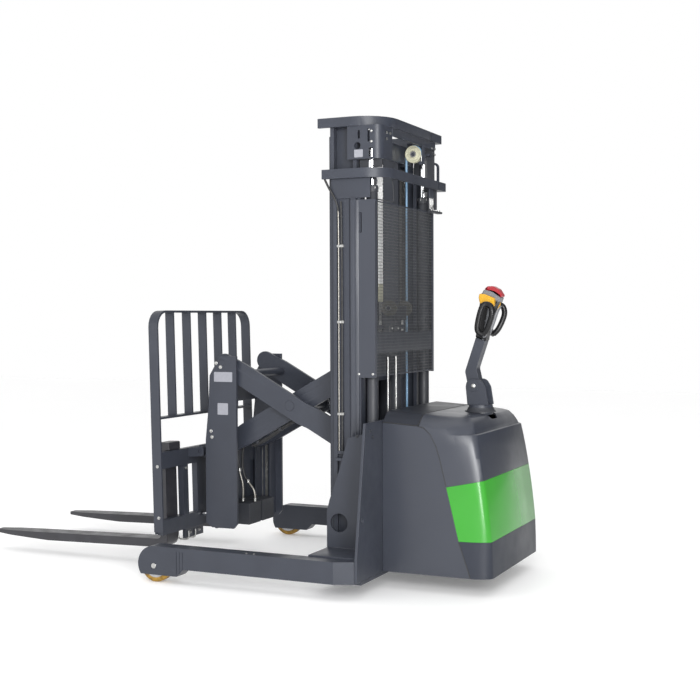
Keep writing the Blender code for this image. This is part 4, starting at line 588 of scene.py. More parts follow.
# The gland of a lift cylinder: places from its top and from its radius
BARREL_TOP = (
    (-0.036, 0), (-0.034, -0.0015), (-0.031, -0.0015), (-0.03, 0.002), (-0.004, 0.002),
    (-0.002, 0), (0, -0.003), (0, -0.0065), (-0.05, -0.0065),
)
LEG_FACE_Y = 0.685
LEG_GROOVES = (0.566, 0.582, 0.598)
GROOVE_WIDTH = 0.0032
GROOVE_Z = (0.046, 0.15)
GROOVE_FLOOR_Y = 0.6828
LOAD_AXLE = (0.723, 0.0756)
PAST_FACE = 0.005


def window(a, b, radius, steps, low, high, plane="XZ"):
    """A hole with round corners, from low to high through a solid."""
    return rounded(quad(a, b), (radius,) * 4, steps), plane, low, high


def leg_marks(sign):
    """Grooves where the wheel's housing meets the leg, and a seat for the axle's end."""
    depth = span(sign, GROOVE_FLOOR_Y, LEG_FACE_Y + PAST_FACE)
    grooves = [(quad((x, x + GROOVE_WIDTH), GROOVE_Z), "XZ", *depth) for x in LEG_GROOVES]
    return (*grooves, (ring(0.015, 24, LOAD_AXLE), "XZ", *depth))


def cover_slot(sign):
    return (window((-0.1735, -0.1605), (1.572, 1.665), 0.006, 3, *span(sign, 0.356, 0.37)),)


HOLES = {
    "middle_mast": (
        window((-0.162, -0.151), (1.99, 2.028), 0.005, 3, 0.33, 0.37),
        window((-0.209, -0.199), (1.975, 2.033), 0.005, 3, 0.33, 0.37),
        window((-0.226, -0.203), (1.907, 1.95), 0.01, 4, 0.33, 0.37),
        window((-0.205, -0.19), (1.935, 2.01), 0.007, 3, -0.37, -0.33),
    ),
    "leg_left": leg_marks(1),
    "leg_right": leg_marks(-1),
    "side_cover_left": cover_slot(1),
    "side_cover_right": cover_slot(-1),
    "base_frame": tuple(
        window(span(sign, 0.588, 0.606), (0.325, 0.343), 0.004, 2, -0.285, -0.255, "YZ")
        for sign in (1, -1)
    ),
}


OUTER_FACE_Y = 0.36
CHAIN_X = (-0.1715, -0.1575)
CHAIN_Y = (0.112, 0.162)
CHAIN_LEAVES = 12
CHAIN_FOOT_Z = 1.342
ANCHOR_FOOT_Z = 1.27
BRACKET_FOOT_Z = 1.143
BRACKET_TOP_Z = 1.163
BRACKET_REACH_Y = 0.3117
# Bolts: thread size, then the places of those on the left
COVER_BOLTS = (0.0055, ((-0.2255, 0.3643, 0.9465), (-0.158, 0.3643, 0.9465)))
STRAP_BOLTS = (0.0055, ((-0.218, 0.3555, 2.0209), (-0.218, 0.3555, 1.975)))
TOP_TIE_BOLTS = (0.006, ((-0.268, 0.3, 2.018), (-0.268, 0.3, 1.99), (-0.268, 0.262, 2.018)))
PLATE_BOLTS = (0.0065, ((-0.2763, 0.512, 0.709), (-0.2763, 0.488, 0.681)))
GUSSET_BOLTS = (0.0065, ((-0.231, 0.421, 0.675), (-0.174, 0.421, 0.675)))
LEG_BOLTS = (0.005, ((0.21, 0.668, 0.166), (0.248, 0.668, 0.166)))
HEAD_BOLTS = (0.0085, (
    (0.687, 0.236, 0.65), (0.682, 0.236, 0.621), (0.656, 0.236, 0.98), (0.632, 0.236, 0.961),
))
FORK_BOLTS = (0.008, ((0.8415, 0.218, 0.462), (0.837, 0.11, 0.142), (0.837, 0.195, 0.142)))
POST_BOLTS = (0.0075, ((0.8575, 0.445, 0.492), (0.8515, 0.445, 0.247)))
FOOT_BOLT = (0.0095, ((-0.585, 0.0485, 0.885),))
TOP_TIE_CORNER = (-0.281, -0.363)
TIE_CORNER = (-0.295, -0.385)
EDGE_TRIM = (
    (-0.121, 0.3718), (-0.126, 0.3758), (-0.13, 0.3762), (-0.159, 0.3646), (-0.1475, 0.3646),
    (-0.1465, 0.3718),
)
EDGE_TRIM_Z = (0.182, 1.72)
LOW_PIPES = ((-0.246, 0.2405), (-0.246, 0.1463))
LOW_PIPES_Z = (0.7, 0.78, 0.9, 1.02)
STRAP_FACE_Y = 0.3555
STRAP_SIGN = ((-0.177, -0.135), (1.908, 1.942))
# Under the mast's second tie: a bent bar on each side, and a catch on the right
TIE_BAR = (
    (-0.262, 0.222, 1.8165), (-0.266, 0.222, 1.78), (-0.268, 0.224, 1.728),
    (-0.267, 0.232, 1.719), (-0.258, 0.3, 1.7175), (-0.248, 0.352, 1.7175),
)
CATCH = (
    (-0.281, -0.24, 1.775), (-0.281, -0.24, 1.735), (-0.281, -0.226, 1.722),
    (-0.281, -0.212, 1.735), (-0.281, -0.212, 1.775),
)
# Blocks: ranges in X, Y and Z, edge, finish
CATCH_BLOCKS = (
    ((-0.284, -0.278), (-0.245, -0.19), (1.77, 1.8165), 0.001, 1),
    ((-0.276, -0.262), (-0.312, -0.296), (1.722, 1.8165), 0.0015, 3),
    ((-0.282, -0.254), (-0.372, -0.236), (1.706, 1.716), 0.002, 3),
)
SIGN_THICK = 0.0008
SEAM_Y = 0.3778
# Seams of the hood on its side, drawn as black beads that stand for the shade in the gaps between
# panels (painted shade): places in X and Z
SIDE_SEAMS = (
    ((-0.278, 0.7365), (-0.33, 0.7335), (-0.39, 0.7295), (-0.43, 0.7265)),
    ((-0.444, 0.724), (-0.47, 0.718), (-0.501, 0.69), (-0.527, 0.64), (-0.543, 0.59),
     (-0.558, 0.53), (-0.5735, 0.468)),
    ((-0.63, 0.233), (-0.656, 0.16), (-0.6835, 0.08)),
)
# The seam that runs over the hood, also a black bead of painted shade
TOP_SEAM = (
    (-0.43, 0.3775, 0.7265), (-0.4455, 0.377, 0.73), (-0.4455, 0.352, 0.7468),
    (-0.4455, 0.322, 0.7672), (-0.4455, 0.296, 0.7735), (-0.4455, 0.15, 0.7737),
    (-0.4455, 0.0, 0.7737),
)
SEAM_R = 0.002
# Beads along the leg's plate and up the gusset: X, Y, Z, radius
LEG_WELDS = (
    ((-0.262, -0.06), 0.422, (0.1735, 0.1735), 0.0035),
    ((-0.2625, -0.2625), 0.426, (0.176, 0.69), 0.003),
)
HEAD_FACE_Y = 0.236
HEAD_SIGNS = (((0.5665, 0.668), (0.89, 0.937)), ((0.591, 0.649), (0.731, 0.787)))
# Bright strips on the roller channel's flanges: painted highlight.
TRACKS_X = ((0.61, 0.615), (0.622, 0.636), (0.65, 0.654))
TRACK_FACE_Y = 0.215
TRACKS_Z = (0.24, 0.64)
# Pipes and hoses between the head and its valve block: Y, then places in X and Z
LIGHT_PIPES = (
    (0.12, ((0.596, 0.452), (0.592, 0.43), (0.58, 0.39), (0.577, 0.345), (0.578, 0.305))),
    (0.08, ((0.572, 0.392), (0.56, 0.378), (0.54, 0.352), (0.533, 0.325), (0.533, 0.302))),
)
BLACK_HOSES = (
    ((0.6, 0.12, 0.64), (0.598, 0.122, 0.59), (0.606, 0.12, 0.53), (0.602, 0.12, 0.49),
     (0.596, 0.12, 0.452)),
    ((0.59, 0.09, 0.64), (0.592, 0.09, 0.56), (0.6, 0.086, 0.48), (0.59, 0.082, 0.42),
     (0.572, 0.08, 0.392)),
)
# Hoses along the inner arm: where the arm starts, how it falls, then Y and depth under its middle
ARM_START = Vector((-0.085, 0.0, 0.979))
ARM_FALL = math.radians(29.0)
ARM_HOSES = ((0.136, 0.062), (0.122, 0.066))
ARM_HOSE_ALONG = (0.36, 0.42, 0.48, 0.54, 0.6, 0.66, 0.72)
ARM_CLIPS_ALONG = (0.4, 0.54, 0.68)
HOOP = (
    (0.834, 0.15, 0.15), (0.834, 0.15, 0.12), (0.846, 0.15, 0.108), (0.882, 0.15, 0.108),
    (0.894, 0.15, 0.12), (0.894, 0.15, 0.17),
)
HOOP_OFFSETS = (0.0, 0.062)
# The control head: each outline in X and Z, each route in X, Y and Z
COLUMN = (
    (-0.588, 1.1062), (-0.598, 1.17), (-0.606, 1.245), (-0.614, 1.306), (-0.65, 1.312),
    (-0.694, 1.272), (-0.652, 1.19), (-0.637, 1.0895),
)
COLUMN_CORNERS = (0.004, 0.01, 0.014, 0.01, 0.008, 0.01, 0.01, 0.004)
COLLAR = (
    (-0.617, 1.3), (-0.629, 1.3225), (-0.668, 1.3125), (-0.7065, 1.285), (-0.699, 1.264),
    (-0.658, 1.275),
)
COLLAR_CORNERS = (0.004, 0.006, 0.012, 0.006, 0.005, 0.008)
CAP = (
    (-0.6285, 1.324), (-0.644, 1.337), (-0.668, 1.3375), (-0.696, 1.3225), (-0.713, 1.295),
    (-0.7075, 1.286), (-0.678, 1.306), (-0.64, 1.3175),
)
CAP_CORNERS = (0.004, 0.008, 0.012, 0.012, 0.006, 0.003, 0.004, 0.003)
ROCKER = (
    (-0.612, 1.286), (-0.616, 1.304), (-0.642, 1.3), (-0.685, 1.282), (-0.683, 1.25),
    (-0.661, 1.227), (-0.646, 1.256), (-0.618, 1.258),
)
ROCKER_CORNERS = (0.004, 0.006, 0.006, 0.006, 0.008, 0.008, 0.01, 0.006)
BUTTONS = ((-0.64, 1.18), (-0.65, 1.205))
GRIP = (
    (-0.64, 0.078, 1.119), (-0.624, 0.09, 1.13), (-0.62, 0.095, 1.155), (-0.631, 0.095, 1.21),
    (-0.645, 0.092, 1.248), (-0.664, 0.088, 1.255), (-0.683, 0.09, 1.243), (-0.688, 0.093, 1.213),
    (-0.677, 0.09, 1.176), (-0.66, 0.082, 1.14),
)
YOKE = (
    (-0.624, 0.018, 1.098), (-0.637, 0.03, 1.13), (-0.652, 0.044, 1.18), (-0.664, 0.056, 1.225),
    (-0.674, 0.068, 1.25),
)
SPOKE = ((-0.62, 0.024, 1.118), (-0.628, 0.05, 1.12), (-0.638, 0.076, 1.12))
# The tiller's foot: its cheeks in X and Z, its pivot, and the column it turns on
CHEEK = (
    (-0.653, 0.798), (-0.555, 0.798), (-0.547, 0.88), (-0.552, 0.915), (-0.619, 0.915),
    (-0.64, 0.88),
)
CHEEK_CORNERS = (0.004, 0.004, 0.03, 0.028, 0.03, 0.03)
TILLER_PIVOT = (-0.585, 0.885)
STEER_AXIS = (-0.605, 0.0)
BOOT = (
    (0.7655, 0.0555), (0.7655, 0.069), (0.77, 0.069), (0.776, 0.062), (0.786, 0.059),
    (0.786, 0.0555),
)
PIPE_PLACE = (-0.0605, 0.365)
PIPE_CLIPS_Z = (0.76, 1.172, 1.511)
# Radius, finish, and a route from the pipe's place
PIPE_ROUTES = (
    (0.004, 0, ((0, 0, 0.595), (0, 0, 0.8), (0, 0, 1.2), (0, 0, 1.6), (0.002, 0.001, 1.69))),
    (0.005, 1, ((0.001, 0.001, 1.672), (0.004, 0.002, 1.695), (0.018, 0.006, 1.735),
                 (0.044, 0.0095, 1.78), (0.0645, 0.0095, 1.822), (0.0725, 0.0095, 1.857))),
    (0.005, 1, ((-0.016, 0, 0.595), (-0.016, 0, 0.9), (-0.017, 0, 1.3), (-0.015, 0, 1.6),
                 (-0.013, 0.0015, 1.715))),
)
HOSE_TAIL = 0.036


def body_of_node(node):
    for body, members in frame["record"]["behaviour"]["bodies"].items():
        if node in members:
            return body
    raise RuntimeError("no body holds " + node)


def cut_through(mesh, holes):
    """Cuts the holes, closed prisms in the layout frame, out of a mesh."""
    target = add_object("target", mesh)
    tools = []
    for outline, plane, low, high in holes:
        tool = Piece()
        tool.prism(outline, plane, low, high)
        tools.append(tool.bare("hole"))
    for tool in tools:
        step = target.modifiers.new("hole", "BOOLEAN")
        step.operation = "DIFFERENCE"
        step.solver = "EXACT"
        step.object = tool
    done = evaluated_mesh(target)
    for used in (target, *tools):
        bpy.data.objects.remove(used, do_unlink=True)
    return done


def round_place(node, axis="Z"):
    """Lower and upper end, centre and radius of a solid that is round about an axis."""
    low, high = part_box(node)
    middle = (low + high) / 2
    if axis == "Z":
        return low.z, high.z, (middle.x - ZERO_X, middle.y), (high.y - low.y) / 2
    return low.y, high.y, (middle.x - ZERO_X, middle.z), (high.z - low.z) / 2


def round_edges(node, material, width):
    """A copy of a solid with its edges rounded stands for it."""
    source = frame["nodes"][node].data.copy()
    if node in HOLES:
        source = cut_through(source, HOLES[node])
    bm = bmesh.new()
    bm.from_mesh(source)
    bmesh.ops.remove_doubles(bm, verts=bm.verts, dist=WELD_DISTANCE)
    bmesh.ops.dissolve_limit(
        bm, angle_limit=FLAT_ANGLE, verts=bm.verts, edges=bm.edges, delimit={"NORMAL"},
    )
    mesh = bpy.data.meshes.new(node + "_finished")
    bm.to_mesh(mesh)
    bm.free()
    mesh.materials.append(material)
    made = add_object(node + "_finished", mesh)
    mesh.shade_smooth()
    mesh.set_sharp_from_angle(angle=SMOOTH_ANGLE)
    bevel = made.modifiers.new("rounded", "BEVEL")
    bevel.width = width
    bevel.segments = 2
    bevel.limit_method = "ANGLE"
    bevel.angle_limit = BEVEL_ANGLE
    bevel.use_clamp_overlap = True
    bevel.harden_normals = True
    done = evaluated_mesh(made)
    made.modifiers.clear()
    made.data = done
    hang(made, body_of_node(node), (node,))


# Operators

class TRUCK_OT_solids(bpy.types.Operator):
    """Round the edges of the solids and give each its finish"""
    bl_idname = "truck.solids"
    bl_label = "Finish Solids"

    def execute(self, context):
        width = context.scene.truck_detail.edge
        for name, slot, nodes in PLAIN_NODES:
            for node in nodes:
                round_edges(node, finish(name), width * NODE_ROUNDING.get(node, 1.0))
        return {"FINISHED"}


class TRUCK_OT_guard(bpy.types.Operator):
    """Weave the mesh guard behind the mast, with its frame and cross bar"""
    bl_idname = "truck.guard"
    bl_label = "Mesh Guard"

    def execute(self, context):
        detail = context.scene.truck_detail
        low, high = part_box("rear_guard")
        rear = low.x - ZERO_X
        half = high.y
        piece = finished("wire", "body")
        thick = (rear, rear + 0.003)
        for z in ((low.z, low.z + STRIP), (high.z - STRIP, high.z)):
            piece.block(thick, (-half, half), z, 0.0006, 1)
        for sign in (1, -1):
            upright = (low.z + STRIP, high.z - STRIP)
            piece.block(thick, span(sign, half - STRIP, half), upright, 0.0006, 1)
        wide = 2 * half - STRIP
        tall = high.z - low.z - STRIP
        count_y, count_z = int(wide / detail.mesh_pitch), int(tall / detail.mesh_pitch)
        radius = detail.wire / 2
        for i in range(1, count_y):
            place = (rear + radius, -half + STRIP / 2 + wide * i / count_y)
            piece.rod("Z", place, radius, low.z + 0.004, high.z - 0.004, 6)
        for j in range(1, count_z):
            place = (rear + radius * 2.6, low.z + STRIP / 2 + tall * j / count_z)
            piece.rod("Y", place, radius, -half + 0.004, half - 0.004, 6)
        piece.block((rear + 0.0035, rear + 0.0065), (-half, half), CROSS_BAR_Z, 0.0008, 1)
        piece.done("mesh_guard", "truck", "graphite", ("rear_guard",))
        return {"FINISHED"}


class TRUCK_OT_cylinders(bpy.types.Operator):
    """Turn the lift cylinders' barrels and rods, with their gland nuts and wipers"""
    bl_idname = "truck.cylinders"
    bl_label = "Lift Cylinders"

    def execute(self, context):
        for node in (*pair("lift_barrel"), "free_lift_barrel"):
            low, high, centre, radius = round_place(node)
            piece = finished("dark", "zinc")
            profile = [(low, radius - 0.002), (low + 0.002, radius)]
            profile += [(high + up, radius + out) for up, out in BARREL_TOP]
            piece.turned("Z", centre, [*profile, (high - 0.051, 0.001)], 40)
            piece.toward((*centre, high - 0.02), (0, 0, 1), 0.4)
            for place in ring(radius + 0.001, 6):
                piece.rod("Z", place, 0.0022, 0.004, 0.012, 10, 0.0, 1)
            piece.home()
            piece.done(node + "_finished", body_of_node(node), "dark_paint", (node,))
        for node in pair("lift_rod"):
            low, high, centre, radius = round_place(node)
            piece = finished("chrome", "zinc")
            piece.turned("Z", centre, (
                (low, radius - 0.003), (low + 0.003, radius), (high - 0.02, radius),
                (high - 0.018, radius - 0.004), (high - 0.0005, radius - 0.004),
            ), 40)
            piece.done(node + "_finished", body_of_node(node), "chrome", (node,))
        return {"FINISHED"}


def load_wheel(side):
    node = "load_tyre_" + side
    low, high, centre, tread = round_place(node, "Y")
    middle = (low + high) / 2
    half = (high - low) / 2
    piece = finished("tread", "steel", "dark")
    outside = [
        (-half + 0.0005, tread - 0.02), (-half, tread - 0.018), (-half, tread - 0.006),
        (-half + 0.0015, tread - 0.0025), (-half + 0.005, tread),
    ]
    outside += [*flipped(outside), (0.0, tread - 0.022)]
    core = [
        (-half + 0.006, 0.013), (-half + 0.006, 0.024), (-half + 0.001, 0.024),
        (-half + 0.001, tread - 0.0205),
    ]
    core += [(0.0, tread - 0.0225), *flipped(core)]
    piece.turned("Y", centre, outside, 72, 0, True, middle)
    piece.turned("Y", centre, core, 48, 1, True, middle)
    for face in (-1, 1):
        place = face * (half - 0.004)
        seal = quad((place - 0.0015, place + 0.0015), (0.0235, 0.015))
        piece.turned("Y", centre, seal, 32, 2, True, middle)
    piece.done("load_wheel_" + side, body_of_node(node), "polyurethane", (node,))


def sheave(node, name, groove, bore, flange):
    """A grooved wheel with a hub on each side; flange is how thick each rim is."""
    low, high, centre, rim = round_place(node, "Y")
    middle = (low + high) / 2
    half = (high - low) / 2
    piece = finished(name, "steel")
    profile = [
        (-half + 0.0008, bore), (-half + 0.0008, rim * 0.42), (-half + 0.003, rim * 0.46),
        (-half + 0.003, rim * 0.74), (-half + 0.0006, rim * 0.8), (-half, rim * 0.84),
        (-half, rim - 0.0015), (-half + 0.0015, rim), (-half + flange - 0.001, rim - 0.0006),
        (-half + flange, rim - groove),
    ]
    piece.turned("Y", centre, profile + flipped(profile), 64, 0, True, middle)
    for sign in (1, -1):
        hub = ((-0.0008, bore), (-0.0008, rim * 0.38), (0.0002, rim * 0.36), (0.0002, rim * 0.3),
               (-0.0004, rim * 0.29), (-0.0004, bore))
        hub = [(sign * (half + out), radius) for out, radius in hub]
        piece.turned("Y", centre, hub, 40, 1, True, middle)
    piece.done(node + "_finished", body_of_node(node), "cream_plastic", (node,))


class TRUCK_OT_wheels(bpy.types.Operator):
    """Turn the load wheels with their cores and bearings, and the grooved sheaves"""
    bl_idname = "truck.wheels"
    bl_label = "Wheels And Sheaves"

    def execute(self, context):
        for side in ("left", "right"):
            load_wheel(side)
        for node in pair("chain_sheave"):
            sheave(node, "sheave", 0.0055, 0.0106, 0.005)
        sheave("hose_pulley", "cream", 0.0085, 0.0086, 0.0064)
        return {"FINISHED"}


class TRUCK_OT_chains(bpy.types.Operator):
    """Lace the leaf chains with their anchors, studs, nuts and brackets"""
    bl_idname = "truck.chains"
    bl_label = "Lifting Chains"

    def execute(self, context):
        pitch = context.scene.truck_detail.chain_pitch
        for side, sign in (("left", 1), ("right", -1)):
            node = "lift_chain_" + side
            low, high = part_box(node)
            x = sum(CHAIN_X) / 2
            half = (CHAIN_X[1] - CHAIN_X[0]) / 2 - 0.0005
            near = CHAIN_Y[0] + 0.002
            leaf = (CHAIN_Y[1] - CHAIN_Y[0] - 0.004) / CHAIN_LEAVES
            # Left chain: light steel with painted highlight; right chain and anchor: dark copy with
            # painted shade.
            links, anchor = ("chain", "cream") if side == "left" else ("far_chain_shade", "far_chain_shade")
            piece = finished(links, links, anchor, "zinc", "body")
            count = int((high.z - CHAIN_FOOT_Z) / pitch)
            for k in range(count):
                z = CHAIN_FOOT_Z + k * pitch
                waist = half * 0.72
                upper = min(z + pitch, high.z - half)
                outline = [
                    *ring(half, 5, (x, z), math.pi * 1.08, math.pi * 0.84),
                    (x + waist, z + pitch / 2),
                    *ring(half, 5, (x, upper), math.pi * 0.08, math.pi * 0.84),
                    (x - waist, z + pitch / 2),
                ]
                for i in range(CHAIN_LEAVES):
                    if (i + k) % 2:
                        continue
                    y0 = near + i * leaf
                    piece.prism(outline, "XZ", *span(sign, y0 + 0.0001, y0 + leaf - 0.0001))
                ends = span(sign, near - 0.001, CHAIN_Y[1] - 0.001)
                piece.rod("Y", (x, z), half * 0.46, *ends, 10, 0.0, 1)
            ends = span(sign, CHAIN_Y[0] + 0.003, CHAIN_Y[1] - 0.003)
            piece.prism(rounded((
                (x - half, ANCHOR_FOOT_Z), (x + half, ANCHOR_FOOT_Z), (x + half, CHAIN_FOOT_Z),
                (x + half * 0.6, CHAIN_FOOT_Z + 0.016), (x - half * 0.6, CHAIN_FOOT_Z + 0.016),
                (x - half, CHAIN_FOOT_Z),
            ), (0.002,) * 6, 2), "XZ", *ends, 0.001, 2)
            y = sign * sum(CHAIN_Y) / 2
            threads = []
            z = BRACKET_FOOT_Z - 0.004
            while z < ANCHOR_FOOT_Z + 0.002:
                threads += [(z, 0.0052), (z + 0.001, 0.006)]
                z += 0.002
            piece.turned("Z", (x, y), threads, 16, 3)
            for nut_z in (BRACKET_TOP_Z, BRACKET_TOP_Z + 0.01, BRACKET_FOOT_Z - 0.01):
                piece.toward((x, y, nut_z), (0, 0, 1), 0.2 + nut_z)
                piece.prism(ring(0.0068, 6), "XY", 0.0, 0.0085, 0.0008, 3)
                piece.home()
            ends = span(sign, CHAIN_Y[0], BRACKET_REACH_Y)
            levels = (BRACKET_FOOT_Z, BRACKET_TOP_Z)
            piece.block((low.x - ZERO_X, high.x - ZERO_X), ends, levels, 0.0015, 4)
            piece.done("leaf_chain_" + side, "truck", "steel", (node,))
        return {"FINISHED"}


class TRUCK_OT_hoses(bpy.types.Operator):
    """Run the mast's hoses and pipe with their clips and fittings"""
    bl_idname = "truck.hoses"
    bl_label = "Hoses And Pipes"

    def execute(self, context):
        low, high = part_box("mast_hose")
        y = (low.y + high.y) / 2
        radius = (high.y - low.y) / 2
        front = high.x - ZERO_X - radius
        rear = low.x - ZERO_X + radius
        turn = (front - rear) / 2
        axle_z = high.z - radius - turn
        start_z = low.z + 0.06
        route = [(front, y, low.z)]
        route += [(front, y, start_z + (axle_z - start_z) * k / 6) for k in range(6)]
        route += [(x, y, z) for x, z in ring(turn, 24, (rear + turn, axle_z), 0.0, math.pi)]
        route.append((rear, y, axle_z - HOSE_TAIL))
        piece = finished("blue_hose", "zinc")
        piece.tube(route, radius * 0.94, 14, 0, straight=True)
        for x, foot, length, wide in (
            (front, low.z, 0.04, 1.0), (front, low.z + 0.04, 0.016, 1.12),
            (rear, axle_z - HOSE_TAIL, 0.03, 1.0),
        ):
            piece.rod("Z", (x, y), radius * wide, foot, foot + length, 20, 0.001, 1)
        piece.done("pulley_hose", "middle_stage", "rubber", ("mast_hose",))

        piece = finished("pipe", "rubber", "zinc", "body")
        pipe_x, pipe_y = PIPE_PLACE
        for radius, look, route in PIPE_ROUTES:
            route = [(pipe_x + x, pipe_y + y, z) for x, y, z in route]
            piece.tube(route, radius, 12, look, 6)
        for z in PIPE_CLIPS_Z:
            x_range = (pipe_x - 0.026, pipe_x + 0.007)
            piece.block(x_range, (OUTER_FACE_Y, pipe_y + 0.0062), (z, z + 0.012), 0.0008, 2)
            piece.bolt((pipe_x - 0.009, pipe_y + 0.0062, z + 0.006), (0, 1, 0), 0.004, 2, False)
        x_range = (pipe_x - 0.028, pipe_x + 0.008)
        piece.block(x_range, (OUTER_FACE_Y, pipe_y + 0.006), (0.585, 0.6), 0.001, 3)
        piece.done("mast_pipe", "truck", "rubber")
        return {"FINISHED"}


def corner_fill(corner, radius):
    """What a square corner has outside a rounded one."""
    x, y = corner
    start = math.radians(184)
    arc = ring(radius - 0.0005, 14, (x + radius, y + radius), start, math.radians(84))
    return [(x, y), (x, y + radius * 0.93), *arc[:14], (x + radius * 0.93, y)]


class TRUCK_OT_mast_fittings(bpy.types.Operator):
    """Bolt on the mast's covers, brackets, catches and blank signs"""
    bl_idname = "truck.mast_fittings"
    bl_label = "Mast Fittings"

    def execute(self, context):
        piece = finished("zinc", "body", "wire", "dark")
        piece.bolts(COVER_BOLTS)
        for sign in (1, -1):
            piece.tube([(x, sign * y, z) for x, y, z in TIE_BAR], 0.003, 10, 3, 5)
        piece.tube(CATCH, 0.0034, 10, 0, 5)
        for x, y, z, edge, look in CATCH_BLOCKS:
            piece.block(x, y, z, edge, look)
        for y in (-0.355, -0.255):
            piece.rod("Z", (-0.268, y), 0.0075, 1.716, 1.724, 16, 0.001, 0)
        piece.prism(corner_fill(TIE_CORNER, 0.105), "XY", 1.8165, 1.8575, 0.0, 1)
        for x, y in LOW_PIPES:
            piece.tube([(x, y, z) for z in LOW_PIPES_Z], 0.0042, 12, 0, 3)
        piece.done("mast_fixings", "truck", "steel")

        piece = finished("cover")
        for sign in (1, -1):
            piece.prism([(x, sign * y) for x, y in EDGE_TRIM], "XY", *EDGE_TRIM_Z, 0.001)
        piece.done("mast_edge_trims", "truck", "graphite")

        piece = finished("zinc", "body", "label", "dark")
        piece.bolts(STRAP_BOLTS)
        piece.bolts(TOP_TIE_BOLTS, (-1, 0, 0))
        sign_plate = rounded(quad(*STRAP_SIGN), (0.003,) * 4, 2)
        for sign in (1, -1):
            ends = span(sign, STRAP_FACE_Y, STRAP_FACE_Y + SIGN_THICK)
            piece.prism(sign_plate, "XZ", *ends, 0.0, 2)
            piece.block((-0.257, -0.15), span(sign, 0.322, 0.33), (1.864, 2.03), 0.001, 3)
        piece.prism(corner_fill(TOP_TIE_CORNER, 0.15), "XY", 2.0485, 2.0895, 0.0, 1)
        piece.done("mast_head_fixings", "middle_stage", "steel")
        return {"FINISHED"}


class TRUCK_OT_base_fittings(bpy.types.Operator):
    """Bolts, welds and axle ends of the chassis and its legs"""
    bl_idname = "truck.base_fittings"
    bl_label = "Base Fittings"

    def execute(self, context):
        piece = finished("zinc", "body", "dark", "rubber")
        piece.bolts(PLATE_BOLTS, (-1, 0, 0), 2)
        piece.bolts(GUSSET_BOLTS, None, 2)
        piece.bolts(LEG_BOLTS, (0, 0, 1))
        seams = [[(x, SEAM_Y, z) for x, z in seam] for seam in SIDE_SEAMS] + [TOP_SEAM]
        for sign in (1, -1):
            ends = span(sign, LEG_FACE_Y - 0.003, LEG_FACE_Y - 0.0003)
            piece.rod("Y", LOAD_AXLE, 0.0125, *ends, 24, 0.0008, 0)
            for seam in seams:
                # Black rubber beads along the hood's seams: painted shade for the gaps between its
                # panels.
                piece.tube([(x, sign * y, z) for x, y, z in seam], SEAM_R, 8, 3, straight=True)
            for (x0, x1), y, (z0, z1), radius in LEG_WELDS:
                piece.weld(((x0, sign * y, z0), (x1, sign * y, z1)), radius, 1)
        piece.done("base_fixings", "truck", "steel")
        return {"FINISHED"}


class TRUCK_OT_reach_fittings(bpy.types.Operator):
    """Pins, blank signs, bright strips of painted highlight on the roller tracks, hoses and pipes
    of the reach mechanism
    """
    bl_idname = "truck.reach_fittings"
    bl_label = "Reach Fittings"

    def execute(self, context):
        piece = finished("zinc", "label", "track_highlight", "body")
        piece.bolts(HEAD_BOLTS)
        for sign in (1, -1):
            ends = span(sign, HEAD_FACE_Y, HEAD_FACE_Y + 0.0006)
            for x, z in HEAD_SIGNS:
                piece.prism(rounded(quad(x, z), (0.003,) * 4, 2), "XZ", *ends, 0.0, 1)
            # Bright strips for painted highlight on the roller channel's flanges.
            ends = span(sign, TRACK_FACE_Y - 0.0006, TRACK_FACE_Y)
            for x in TRACKS_X:
                piece.block(x, ends, TRACKS_Z, 0.0, 2)
        piece.done("reach_head_fixings", "reach_head", "steel")

        piece = finished("pipe", "rubber", "zinc", "dark")
        for y, route in LIGHT_PIPES:
            piece.tube([(x, y, z) for x, z in route], 0.0055, 12, 0, 6)
            for x, z in (route[0], route[-1]):
                piece.rod("Z", (x, y), 0.0085, z - 0.006, z + 0.01, 12, 0.001, 2)
        for route in BLACK_HOSES:
            piece.tube(route, 0.006, 12, 1, 7)
        piece.done("reach_head_hoses", "reach_head", "rubber")

        piece = finished("zinc", "rubber", "dark")
        along = Vector((math.cos(ARM_FALL), 0, -math.sin(ARM_FALL)))
        down = Vector((along.z, 0, -along.x))
        for y, drop in ARM_HOSES:
            piece.tube([
                ARM_START + along * t + down * (drop + 0.004 * math.sin(t * 22)) + Vector((0, y, 0))
                for t in ARM_HOSE_ALONG
            ], 0.0058, 12, 1, 5)
        for t in ARM_CLIPS_ALONG:
            x, _, z = ARM_START + along * t + down * 0.056
            piece.block((x - 0.006, x + 0.006), (0.112, 0.146), (z - 0.014, z + 0.01), 0.001, 2)
        piece.done("arm_hoses", "inner_arms", "rubber")
        return {"FINISHED"}


class TRUCK_OT_fork_fittings(bpy.types.Operator):
    """Bolts and wire hoops of the fork carriage, and bolts of the backrest"""
    bl_idname = "truck.fork_fittings"
    bl_label = "Fork Fittings"

    def execute(self, context):
        piece = finished("zinc", "body")
        piece.bolts(FORK_BOLTS, (-1, 0, 0))
        piece.bolts(POST_BOLTS)
        for offset in HOOP_OFFSETS:
            for sign in (1, -1):
                piece.tube([(x, sign * (y + offset), z) for x, y, z in HOOP], 0.0045, 12, 0, 4)
        piece.done("fork_carriage_fixings", "forks", "steel")
        return {"FINISHED"}


